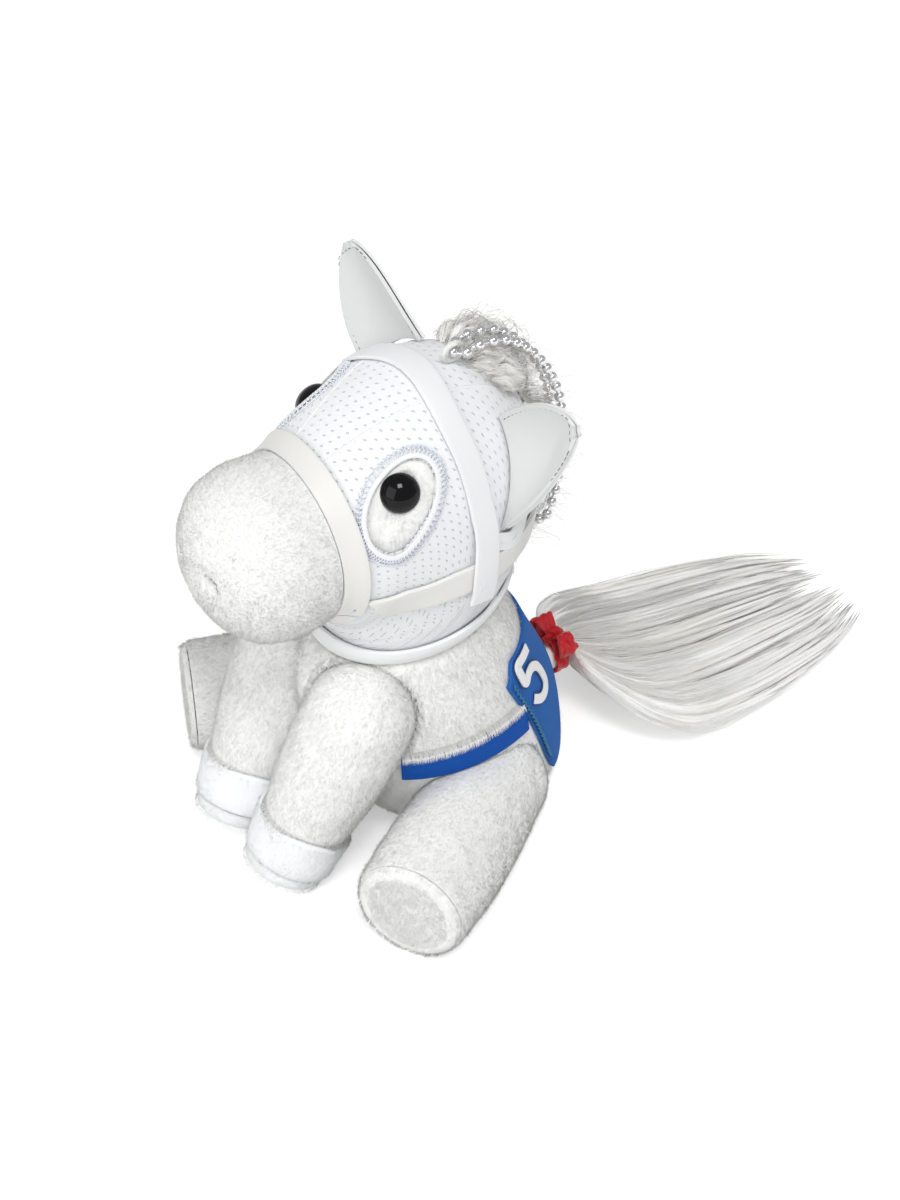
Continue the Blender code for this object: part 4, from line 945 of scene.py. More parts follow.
def perforation_effect() -> NodeTree:
    """Return the rows of small slanted holes of sports mesh, on a place in millimetres."""
    def build(w: Wiring, start: Node) -> Sequence:
        apart = w.add("ShaderNodeSeparateXYZ", None, {0: start.outputs["Place"]})
        across, along = start.outputs["Across"], start.outputs["Along"]
        lane = w.sum("DIVIDE", apart.outputs[1], along)
        shift = w.sum("MULTIPLY", w.sum("MODULO", w.sum("FLOOR", lane), 2.0), 0.5)
        x = w.sum("SUBTRACT", w.sum("FRACT", w.sum("ADD", w.sum(
            "DIVIDE", apart.outputs[0], across), shift)), 0.5)
        y = w.sum("SUBTRACT", w.sum("FRACT", lane), 0.5)
        x, y = w.sum("MULTIPLY", x, across), w.sum("MULTIPLY", y, along)
        cos, sin = math.cos(0.6), math.sin(0.6)
        a = w.sum("ADD", w.sum("MULTIPLY", x, cos / 0.46), w.sum("MULTIPLY", y, sin / 0.46))
        b = w.sum("SUBTRACT", w.sum("MULTIPLY", y, cos / 0.19), w.sum("MULTIPLY", x, sin / 0.19))
        far = w.sum("SQRT", w.sum("ADD", w.sum("MULTIPLY", a, a), w.sum("MULTIPLY", b, b)))
        hole = w.add("ShaderNodeMapRange", {"interpolation_type": "SMOOTHSTEP"},
                     {0: far, 1: 1.15, 2: 0.55, 3: 0.0, 4: 1.0}).outputs[0]
        knit = w.sum("MULTIPLY", w.sum("SINE", w.sum("MULTIPLY", apart.outputs[0], 21.0)),
                     w.sum("SINE", w.sum("MULTIPLY", apart.outputs[1], 17.0)))
        height = w.sum("SUBTRACT", w.sum("MULTIPLY", knit, 0.12), hole)
        return hole, height
    return effect("perforation", {"Place": (0.0, 0.0, 0.0), "Across": 2.35, "Along": 1.95},
                  ("Hole", "Height"), build)


def weave_effect() -> NodeTree:
    """Return a plain weave on a place in millimetres."""
    def build(w: Wiring, start: Node) -> Sequence:
        apart = w.add("ShaderNodeSeparateXYZ", None, {0: start.outputs["Place"]})
        turns = w.sum("DIVIDE", TAU, start.outputs["Pitch"])
        warp = w.sum("SINE", w.sum("MULTIPLY", apart.outputs[0], turns))
        weft = w.sum("SINE", w.sum("MULTIPLY", apart.outputs[1], turns))
        return (w.sum("MULTIPLY", warp, weft),)
    return effect("weave", {"Place": (0.0, 0.0, 0.0), "Pitch": 0.5}, ("Height",), build)


@dataclass(frozen=True)
class Finish:
    """A finish: its colour and the way it takes the light."""

    name: str
    colour: Colour
    roughness: float = 0.8
    metallic: float = 0.0
    sheen: float = 0.0
    specular: float = 0.5

    def material(self) -> bpy.types.Material:
        """Return the material, made on the first call."""
        found = bpy.data.materials.get(self.name)
        if found:
            return found
        made = bpy.data.materials.new(self.name)
        made.use_nodes = True
        made.diffuse_color = (*self.colour, 1.0)
        shader = made.node_tree.nodes["Principled BSDF"]
        for socket, value in (("Base Color", (*self.colour, 1.0)), ("Roughness", self.roughness),
                              ("Metallic", self.metallic), ("Sheen Weight", self.sheen),
                              ("Specular IOR Level", self.specular)):
            shader.inputs[socket].default_value = value
        self.dress(Wiring(made.node_tree), shader)
        return made

    def dress(self, wiring: Wiring, shader: Node) -> None:
        """Add what varies over the surface; a plain finish adds nothing."""


@dataclass(frozen=True)
class PileFinish(Finish):
    """Plush or hair: painted shade darkens the roots, the tips are brighter, and each strand has
    its own tone.
    """

    # root is the colour of painted shade deep in the pile, darker than the tips.
    root: Colour = (0.7, 0.7, 0.66)
    vary: float = 0.12

    def dress(self, wiring: Wiring, shader: Node) -> None:
        """Paint shade at the roots, fading to the tip colour, with a tone for each strand."""
        tip = wiring.add("ShaderNodeAttribute", {"attribute_name": "tip"})
        tone = wiring.add("ShaderNodeAttribute", {"attribute_name": "tone"})
        loss = wiring.sum("MULTIPLY", tone.outputs["Fac"], self.vary)
        # Painted shade: each strand is darker towards its root.
        share = wiring.sum("SUBTRACT", wiring.sum("POWER", tip.outputs["Fac"], 0.6), loss)
        wiring.paint(shader, wiring.sum("MAXIMUM", share, 0.0), self.root, self.colour)


@dataclass(frozen=True)
class GrainFinish(Finish):
    """Leatherette or felt: a fine grain and a slightly uneven tone."""

    scale: float = 2500.0
    depth: float = 0.06 * MM
    shade: Colour = (0.7, 0.7, 0.68)
    toned: float = 0.5

    def dress(self, wiring: Wiring, shader: Node) -> None:
        """Add the grain on the piece's own coordinates."""
        place = wiring.add("ShaderNodeTexCoord").outputs["Object"]
        grain = wiring.group(grain_effect(), {"Place": place, "Scale": self.scale})
        tone = wiring.sum("MULTIPLY", grain["Tone"], self.toned)
        wiring.paint(shader, tone, self.colour, self.shade)
        wiring.bump(shader, grain["Height"], self.depth)


@dataclass(frozen=True)
class StreakFinish(Finish):
    """The inside of long hair: fine streaks along it and creamier places."""

    cream: Colour = (0.9, 0.88, 0.8)

    def dress(self, wiring: Wiring, shader: Node) -> None:
        """Add the streaks on the piece's own coordinates."""
        place = wiring.add("ShaderNodeTexCoord").outputs["Object"]
        streak = wiring.noise(wiring.stretch(place, (1500.0, 60.0, 700.0)), 1.0, 3.0)
        cloud = wiring.noise(wiring.stretch(place, (120.0, 20.0, 60.0)), 1.0, 2.0)
        mask = wiring.add("ShaderNodeMapRange", None, {0: cloud, 1: 0.50, 2: 0.72, 3: 0.0,
                                                       4: 1.0}).outputs[0]
        wiring.paint(shader, wiring.sum("MULTIPLY", mask, streak), self.colour, self.cream)
        wiring.bump(shader, streak, 0.25 * MM)


@dataclass(frozen=True)
class MeshFinish(Finish):
    """Sports mesh with its rows of slanted holes, painted grey as the shade inside them."""

    # hole is painted shade: the grey in the holes stands in for the shade inside them.
    hole: Colour = (0.66, 0.68, 0.71)

    def dress(self, wiring: Wiring, shader: Node) -> None:
        """Add the holes on the cloth's own map, with painted shade in them."""
        holes = wiring.group(perforation_effect(), {"Place": wiring.cloth_place()})
        wiring.paint(shader, holes["Hole"], self.colour, self.hole)
        wiring.bump(shader, holes["Height"], 0.16 * MM)


@dataclass(frozen=True)
class WeaveFinish(Finish):
    """Woven cloth, with its threads as fine relief."""

    pitch: float = 0.5
    depth: float = 0.04 * MM

    def dress(self, wiring: Wiring, shader: Node) -> None:
        """Add the weave on the cloth's own map."""
        weave = wiring.group(weave_effect(), {"Place": wiring.cloth_place(),
                                              "Pitch": self.pitch})
        wiring.bump(shader, weave["Height"], self.depth)


PLUSH = GrainFinish("white_plush_backing", (0.95, 0.95, 0.935), 0.95, shade=(0.91, 0.91, 0.89),
                    scale=1500.0, depth=0.1 * MM, specular=0.1)
# Each pile's root colour is painted shade deep in the pile; the hair's creamier root is partly its
# own cream tint and partly painted shade.
PILE = PileFinish("white_plush_pile", (0.99, 0.99, 0.98), 0.9, root=(0.965, 0.965, 0.95),
                  specular=0.1)
MUZZLE_PILE = PileFinish("short_plush_pile", (0.985, 0.985, 0.97), 0.9,
                         root=(0.95, 0.95, 0.93), specular=0.1)
EYE_PILE = PileFinish("eye_plush_pile", (0.98, 0.985, 1.0), 0.9, root=(0.96, 0.97, 0.99),
                      specular=0.1)
HAIR = PileFinish("creamy_hair", (0.995, 0.99, 0.97), 0.7, root=(0.975, 0.955, 0.90),
                  vary=0.35, specular=0.2)
HAIR_CORE = StreakFinish("creamy_inner_hair", (0.98, 0.975, 0.955), 0.9, specular=0.1)
STUFFING = GrainFinish("polyester_filling", (0.92, 0.92, 0.90), 1.0, shade=(0.86, 0.86, 0.84),
                       scale=400.0, depth=0.6 * MM)
MESH = MeshFinish("sports_mesh_cloth", (0.90, 0.91, 0.93), 0.75, sheen=0.2)
THREAD_WHITE = Finish("white_overlock_thread", (0.84, 0.87, 0.94), 0.7)
WHITE_LEATHER = GrainFinish("white_leatherette_skin", (0.88, 0.885, 0.89), 0.42,
                            shade=(0.80, 0.81, 0.83), depth=0.03 * MM)
BEIGE_LEATHER = GrainFinish("beige_leatherette_skin", (0.82, 0.815, 0.79), 0.45,
                            shade=(0.75, 0.745, 0.72), depth=0.03 * MM)
GREY_LEATHER = GrainFinish("grey_leatherette_skin", (0.72, 0.73, 0.725), 0.5,
                           shade=(0.63, 0.64, 0.64), depth=0.03 * MM)
STITCH = Finish("grey_nostril_thread", (0.36, 0.37, 0.36), 0.8)
OUTLINE = Finish("dark_numeral_outline", (0.006, 0.035, 0.16), 0.6)
DARK_THREAD = Finish("dark_seam_thread", (0.16, 0.16, 0.18), 0.8)
EYE = Finish("black_eye_plastic", (0.002, 0.002, 0.003), 0.08, specular=0.24)
WASHER = Finish("eye_washer_plastic", (0.85, 0.85, 0.84), 0.5)
STEEL = Finish("nickel_ball_chain", (0.78, 0.78, 0.80), 0.14, metallic=1.0)
CORD = WeaveFinish("white_loop_cord", (0.86, 0.86, 0.84), 0.8)
BLUE = WeaveFinish("mid_blue_cloth", (0.018, 0.130, 0.450), 0.75, specular=0.25)
GIRTH = WeaveFinish("deep_blue_girth_cloth", (0.001, 0.080, 0.400), 0.75, specular=0.25)
NUMERAL = GrainFinish("flocked_white_numeral", (0.90, 0.90, 0.90), 0.7, shade=(0.84, 0.84, 0.85))
TEAL = Finish("teal_stitch_thread", (0.02, 0.16, 0.33), 0.6)
SATIN = WeaveFinish("creased_red_satin", (0.56, 0.008, 0.016), 0.30, specular=0.35, pitch=0.25,
                    depth=0.015 * MM)
FELT = GrainFinish("white_felt_band", (0.92, 0.935, 0.95), 0.95, shade=(0.87, 0.885, 0.90),
                   scale=1800.0, depth=0.12 * MM)
HOOF = GrainFinish("hoof_felt_pad", (0.90, 0.91, 0.92), 0.95, shade=(0.85, 0.86, 0.87),
                   scale=1800.0, depth=0.12 * MM)


def settle(obj: Object, finish: Finish, slot: Slot, *nodes: str,
           body: str = "body") -> None:
    """Give a piece its finish, its body and the nodes that it stands for.

    Args:
        obj: The piece.
        finish: What it is made of.
        slot: The record's slot for that finish; not used.
        nodes: The frame's nodes that it replaces.
        body: The body that it moves with.
    """
    obj.data.materials.clear()
    obj.data.materials.append(finish.material())
    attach(obj, body)
    if nodes:
        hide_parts(*nodes)
    LOG.info("%s: %d faces", obj.name, len(obj.data.polygons))


def lay_sheet(place: Place, low: float) -> None:
    """Measure a sheet's width, length and area from its own layout; the numbers are not kept."""
    n = 60
    grid_u, grid_v = np.meshgrid(np.linspace(0.0, 1.0, n), np.linspace(0.0, 1.0, n))
    points = place(grid_u.ravel(), grid_v.ravel(), low).reshape(n, n, 3)
    across, along = np.diff(points, axis=1), np.diff(points, axis=0)
    width = np.linalg.norm(across, axis=2).sum(axis=1).max()
    length = np.linalg.norm(along, axis=2).sum(axis=0).max()
    area = np.linalg.norm(np.cross(across[:-1], along[:, :-1]), axis=2).sum()


@dataclass(frozen=True)
class Pile:
    """The pile of a plush: how dense, long and fine it is, and how it lies."""

    per_mm2: float = 5.0
    length: float = 1.3 * MM
    radius: float = 0.05 * MM
    stand: float = 0.40
    lie: float = 0.85
    stray: float = 0.26
    clump: float = 0.30
    seed: int = 5

    def grow(self, name: str, points: Array, normals: Array, comb: Array) -> Object:
        """Grow the pile.

        Args:
            name: The piece's name.
            points: The strands' roots.
            normals: The surface's normals there.
            comb: The way that the pile is brushed.

        Returns:
            The pile as one object.
        """
        rng = np.random.default_rng(self.seed)
        count = len(points)
        way = unit(normals * self.stand + unit(comb) * self.lie
                   + rng.normal(size=(count, 3)) * self.stray
                   + drift(points, 5.0 * MM, self.seed) * self.clump)
        low = np.einsum("ij,ij->i", way, normals)
        way = unit(way + normals * np.maximum(0.25 - low, 0.0)[:, None])
        size = self.length * rng.uniform(0.6, 1.15, count)
        tips = points + way * size[:, None]
        lines = np.stack([points - normals * 0.1 * MM, tips], axis=1)
        lines[:, :, 2] = np.maximum(lines[:, :, 2], self.radius + 0.02 * MM)
        radii = np.full((count, 2), self.radius)
        return strands(name, lines, radii, seed=self.seed,
                       facing=np.stack([normals, normals], axis=1))

    def sow(self, form: Form, low: float, high: float,
            keep: Optional[Keep] = None, out: float = 0.0,
            change: Optional[Change] = None,
            ) -> Triple:
        """Spread roots evenly over part of a form.

        Args:
            form: The surface.
            low: The first level.
            high: The last level.
            keep: Says which roots stay, given levels, angles and points.
            out: The height of the roots over the form.
            change: Moves the roots, given them and their sections' middles.

        Returns:
            The points, their normals and the direction along the form.
        """
        rng = np.random.default_rng(self.seed + 100)
        tries = 60000

        def scatter(count: int) -> tuple[Array, Array, Array, Array]:
            """Return random levels and angles, the way along and the area there."""
            level, angle = rng.uniform(low, high, count), rng.uniform(-math.pi, math.pi, count)
            along, around = (span / 0.02 for span in form.spans(level, angle, 0.01))
            return level, angle, along, np.linalg.norm(np.cross(along, around), axis=1)
        level, angle, along, area = scatter(tries)
        wanted = self.per_mm2 * (area.mean() * (high - low) * TAU) / MM ** 2
        more = max(1, math.ceil(wanted * area.max() / area.mean() / tries))
        if more > 1:
            level, angle, along, area = scatter(tries * more)
        chance = area / area.mean() * wanted / len(level)
        chosen = rng.random(len(level)) < chance
        level, angle, along = level[chosen], angle[chosen], along[chosen]
        points, normals = form.at(level, angle, out)
        if keep:
            stay = keep(level, angle, points)
            points, normals, along = points[stay], normals[stay], along[stay]
            level = level[stay]
        if change:
            points = change(points, form.centre(level))
        return points, normals, unit(along)

    def cover(self, name: str, form: Form, low: float, high: float, finish: Finish, slot: Slot,
              body: str = "body", brush: float = 1.0, **how: object) -> tuple[Array, Array]:
        """Sow and grow the pile on part of a form, and settle it as one piece.

        Args:
            name: The piece's name.
            form: The surface.
            low: The first level.
            high: The last level.
            finish: What the pile is made of.
            slot: The record's slot for that finish.
            body: The body that it moves with.
            brush: 1 to brush it along the form, -1 against it.
            how: What else sow is told.

        Returns:
            The roots and the surface's normals there.
        """
        points, normals, along = self.sow(form, low, high, **how)
        settle(self.grow(name, points, normals, along * brush), finish, slot, body=body)
        return points, normals


def fringe(name: str, edge: Callable[[Array, float, Array], Array], count: int, height: float,
           seed: int) -> Object:
    """Grow pile over the edge of a band, from beside it onto its face.

    Args:
        name: The piece's name.
        edge: Gives points at shares along the edge, a distance onto the band
            and heights.
        count: How many strands.
        height: The band's face's height.
        seed: Spreads the strands.

    Returns:
        The strands as one object.
    """
    rng = np.random.default_rng(seed)
    share, size = rng.random(count), rng.uniform(0.5, 1.25, count)
    lean = rng.normal(size=count) * 0.004
    lines = np.empty((count, 3, 3))
    for k, (onto, rise) in enumerate(((-0.7, 0.0), (-0.1, 1.15), (1.7, 1.2))):
        lines[:, k] = edge(share + lean * k, onto * MM * (size if k == 2 else 1.0),
                           np.full(count, height * rise + (0.1 * MM if k == 2 else 0.0)))
    flat = np.zeros(count)
    away = unit(edge(share, 0.0, flat + 1.0 * MM) - edge(share, 0.0, flat))
    radii = 0.05 * MM * np.array([[1.0, 0.9, 0.4]]) * np.ones((count, 1))
    return strands(name, lines, radii, seed=seed, facing=np.stack([away] * 3, axis=1))


def filling(node: str, name: str, body: str = "body") -> None:
    """Make the stuffing inside a skin from its node, softened.

    Args:
        node: The frame's node.
        name: The new piece's name.
        body: The body that it moves with.
    """
    source = bpy.data.objects[node]
    obj = bpy.data.objects.new(name, source.data.copy())
    bpy.context.scene.collection.objects.link(obj)
    select_only(obj)
    bpy.ops.object.mode_set(mode="EDIT")
    bpy.ops.mesh.select_all(action="SELECT")
    bpy.ops.mesh.remove_doubles(threshold=0.01 * MM)
    bpy.ops.mesh.tris_convert_to_quads()
    bpy.ops.object.mode_set(mode="OBJECT")
    bpy.ops.object.shade_smooth()
    settle(obj, STUFFING, Slot.STUFFING, node, body=body)


# The horse's pieces


@dataclass
class Body:
    """The stuffed body with its pile."""

    columns: int = 180
    rows: int = 130
    level_height: float = 8.4 * MM
    girth_cover: float = 3.3 * MM
    seam_depth: float = 2.2 * MM
    shoulder_back: float = 16.0 * MM
    pile: Pile = Pile(per_mm2=6.5, seed=11)

    def skin(self) -> None:
        """Make the closed skin, pressed in where the legs are sewn on."""
        place = shell(BODY, 0.0, BODY.seat, self.rows, lambda p, m: pressed(p, m)[0])
        obj = panel("torso_plush", self.columns, self.rows, place, closed=True)
        settle(obj, PLUSH, Slot.PLUSH, "torso_skin")

    def fur(self) -> None:
        """Grow the pile where neither cloth, girth nor leg covers the body."""
        def keep(level: Array, angle: Array, points: Array) -> Array:
            top, low = CLOTH.edges(angle)
            away = np.abs(angle)
            under_cloth = (away < CLOTH.angle) & (level > top + 0.06) & (level < low - 0.04)
            band = lerp(CLOTH.girth_side, CLOTH.girth_chest,
                        ease((away - CLOTH.angle) / (58.0 * DEG)))
            under_girth = ((away >= CLOTH.angle) & (away < CLOTH.girth_end)
                           & (np.abs(level - band) * self.level_height < self.girth_cover))
            _, depth = pressed(points, BODY.centre(level))
            return ~under_cloth & ~under_girth & (depth < self.seam_depth)
        self.shoulder_fur(*self.pile.cover("torso_pile", BODY, 0.15, BODY.seat, PILE, Slot.PLUSH,
                                           keep=keep, change=lambda p, m: pressed(p, m)[0]))

    def shoulder_fur(self, points: Array, normals: Array) -> None:
        """Grow the longer pile that closes the crease around each front leg."""
        for side in Side:
            limb = front_limb(side)
            near = (limb.holds(points, self.seam_depth)
                    & (points[:, 1] > limb.root[1] - self.shoulder_back))
            root, way = points[near], normals[near]
            gone = np.clip((root - limb.root) @ limb.axis(), 0.0, limb.length())
            inward = unit(np.asarray(limb.root) + gone[:, None] * limb.axis() - root)
            long = Pile(length=2.1 * MM, radius=0.055 * MM, stand=0.95, lie=0.5, stray=0.3,
                        seed=13)
            settle(long.grow(f"shoulder_pile_{side.word}", root, way, inward), PILE, Slot.PLUSH)

    def build(self) -> None:
        """Make every piece of the body."""
        self.skin()
        self.fur()
        filling("torso_stuffing", "torso_filling")


@dataclass
class Head:
    """The stuffed head with its muzzle and its eyes."""

    eye_places: tuple = ((2.2, 57.0 * DEG), (2.1, 45.0 * DEG))
    opening_level: float = 2.2
    opening_lengths: tuple = (18.2 * MM, 17.2 * MM)
    eye_radius: float = 4.35 * MM
    eye_bulge: float = 3.1 * MM
    shank_radius: float = 1.2 * MM
    shank_length: float = 4.0 * MM
    opening_drop: float = 3.2 * MM
    opening_height: float = 18.8 * MM
    pile: Pile = Pile(per_mm2=8.5, length=0.85 * MM, stand=0.6, lie=0.7, seed=21)

    def eye_place(self, side: Side) -> tuple[float, float]:
        """Return the level and angle at which an eye sits."""
        level, angle = side.pick(*self.eye_places)
        return level, side.value * angle

    def opening(self, side: Side) -> Route:
        """Return the outline of the hood's opening around an eye."""
        wide = side.pick(*self.opening_lengths)
        turn = self.eye_place(side)[1]
        per_level, per_turn = HEAD.paces(self.opening_level, turn)

        def route(u: Array) -> Triple:
            dl = np.cos(TAU * u) * wide / 2.0 / per_level
            da = (np.sin(TAU * u) * self.opening_height / 2.0 + self.opening_drop) / per_turn
            return self.opening_level + dl, turn + side.value * da, np.zeros_like(u)
        return route

    def reach(self, side: Side, level: Array, angle: Array) -> Array:
        """Return 1 on the rim of an eye's opening, less inside it."""
        route = self.opening(side)
        ends = route(np.array([0.0, 0.5, 0.25, 0.75]))
        mid_level, half_level = ends[0][:2].mean(), (ends[0][0] - ends[0][1]) / 2.0
        mid_angle, half_angle = ends[1][2:].mean(), abs(ends[1][2] - ends[1][3]) / 2.0
        return np.hypot((level - mid_level) / half_level, (angle - mid_angle) / half_angle)

    def skin(self) -> None:
        """Make the head's skin and the muzzle, with their pile."""
        rows = 70
        obj = panel("head_plush", 96, rows, shell(HEAD, 0.0, HEAD.last, rows), closed=True)
        settle(obj, PLUSH, Slot.PLUSH, "head_skin")
        form = MuzzleForm()
        obj = panel("muzzle_plush", 96, rows, shell(form, 0.0, 7.0, rows), closed=True)
        settle(obj, PLUSH, Slot.SHORT, "muzzle")
        self.pile.cover("muzzle_pile", form, 0.05, 7.0, MUZZLE_PILE, Slot.SHORT, brush=-1.0)

    def face_pile(self) -> None:
        """Grow the pile around the muzzle's root and in the eyes' openings."""
        def keep(level: Array, angle: Array, points: Array) -> Array:
            return level < 0.75
        long = Pile(per_mm2=8.0, length=1.8 * MM, radius=0.055 * MM, stand=0.8, lie=0.8, seed=24)
        long.cover("face_pile", HEAD, 0.0, 0.8, PILE, Slot.PLUSH, brush=-1.0, keep=keep)
        tall = Pile(per_mm2=10.0, length=1.5 * MM, radius=0.055 * MM, stand=0.6, lie=0.75,
                    stray=0.3, seed=23)
        for side in Side:
            middle = HEAD.at(*self.eye_place(side))[0][0]

            def near(level: Array, angle: Array, points: Array) -> Array:
                away = np.linalg.norm(points - middle, axis=1)
                return (self.reach(side, level, angle) < 1.04) & (away > self.eye_radius - GAP)
            points, normals, _ = tall.sow(HEAD, 1.0, 3.6, near, out=0.55 * MM)
            self.cushion(side)
            fur = tall.grow(f"eye_pile_{side.word}", points, normals, points - middle)
            settle(fur, EYE_PILE, Slot.PLUSH)

    def cushion(self, side: Side) -> None:
        """Make the soft plush that swells out of an opening around the eye."""
        route = self.opening(side)
        level0, angle0 = self.eye_place(side)
        per_level, per_turn = HEAD.paces(level0, angle0)

        def place(u: Array, v: Array, out: float) -> Array:
            level, angle, _ = route(u)
            inner = 0.9 * self.eye_radius
            level = lerp(level0 + np.cos(TAU * u) * inner / per_level, level, v)
            angle = lerp(angle0 + side.value * np.sin(TAU * u) * inner / per_turn, angle, v)
            swell = (0.1 + 0.6 * np.sqrt(np.abs(np.sin(math.pi * np.clip(v, 0.0, 1.0))))) * MM
            return HEAD.at(level, angle, out + swell)[0]
        obj = panel(f"eye_cushion_{side.word}", 90, 12, place, 0.05 * MM, 0.15 * MM, closed=True)
        settle(obj, PLUSH, Slot.PLUSH)

    def eyes(self) -> None:
        """Make the glossy eyes, each a dome on a shank, and dress their washers."""
        def dome(flat: Array) -> Array:
            """Return the points of an eye that looks up: a dome, a flat back and a shank."""
            radial, height = np.hypot(flat[:, 0], flat[:, 1]), flat[:, 2]
            turn = np.arctan2(flat[:, 1], flat[:, 0])
            front, rim = height > -0.02, 0.62
            depth = np.where(front, GAP + self.eye_bulge * height, np.where(
                radial > rim, GAP - 0.15 * MM * ease(-height * 3.0), -self.shank_length))
            wide = np.where(front, self.eye_radius * radial, np.where(
                radial > rim,
                lerp(self.shank_radius, self.eye_radius, ease((radial - rim) / 0.36)),
                self.shank_radius * np.minimum(1.0, radial / 0.5)))
            return row3(wide * np.cos(turn), wide * np.sin(turn), depth)
        for side in Side:
            point, normal = (a[0] for a in HEAD.at(*self.eye_place(side)))
            rise = np.array(Vector(normal).to_track_quat("Z", "Y").to_matrix())
            obj = ball(f"eye_dome_{side.word}", 64, 40, lambda flat: dome(flat) @ rise.T + point)
            settle(obj, EYE, Slot.EYE, f"eye_{side.word}")
            washer = bpy.data.objects[f"eye_washer_{side.word}"]
            washer.data.materials.clear()
            washer.data.materials.append(WASHER.material())

    def nostrils(self) -> None:
        """Sew the small stitch in each nostril's dimple."""
        form = MuzzleForm()
        _, ahead, rise = form.axes()
        for side in Side:
            middle = form.nostril(side) - ahead * 0.9 * MM
            share = np.linspace(-1.0, 1.0, 9)[:, None]
            across = np.array([0.8 * side.value, 0.0, 0.0]) + rise * 0.4
            line = middle + across * share * 0.75 * MM - ahead * (share ** 2) * 0.35 * MM
            obj = rod(f"nostril_stitch_{side.word}", line, np.full(9, 0.16 * MM), 8)
            settle(obj, STITCH, Slot.SHORT)

    def build(self) -> None:
        """Make every piece of the head."""
        self.skin()
        self.face_pile()
        self.eyes()
        self.nostrils()
        filling("head_stuffing", "head_filling")


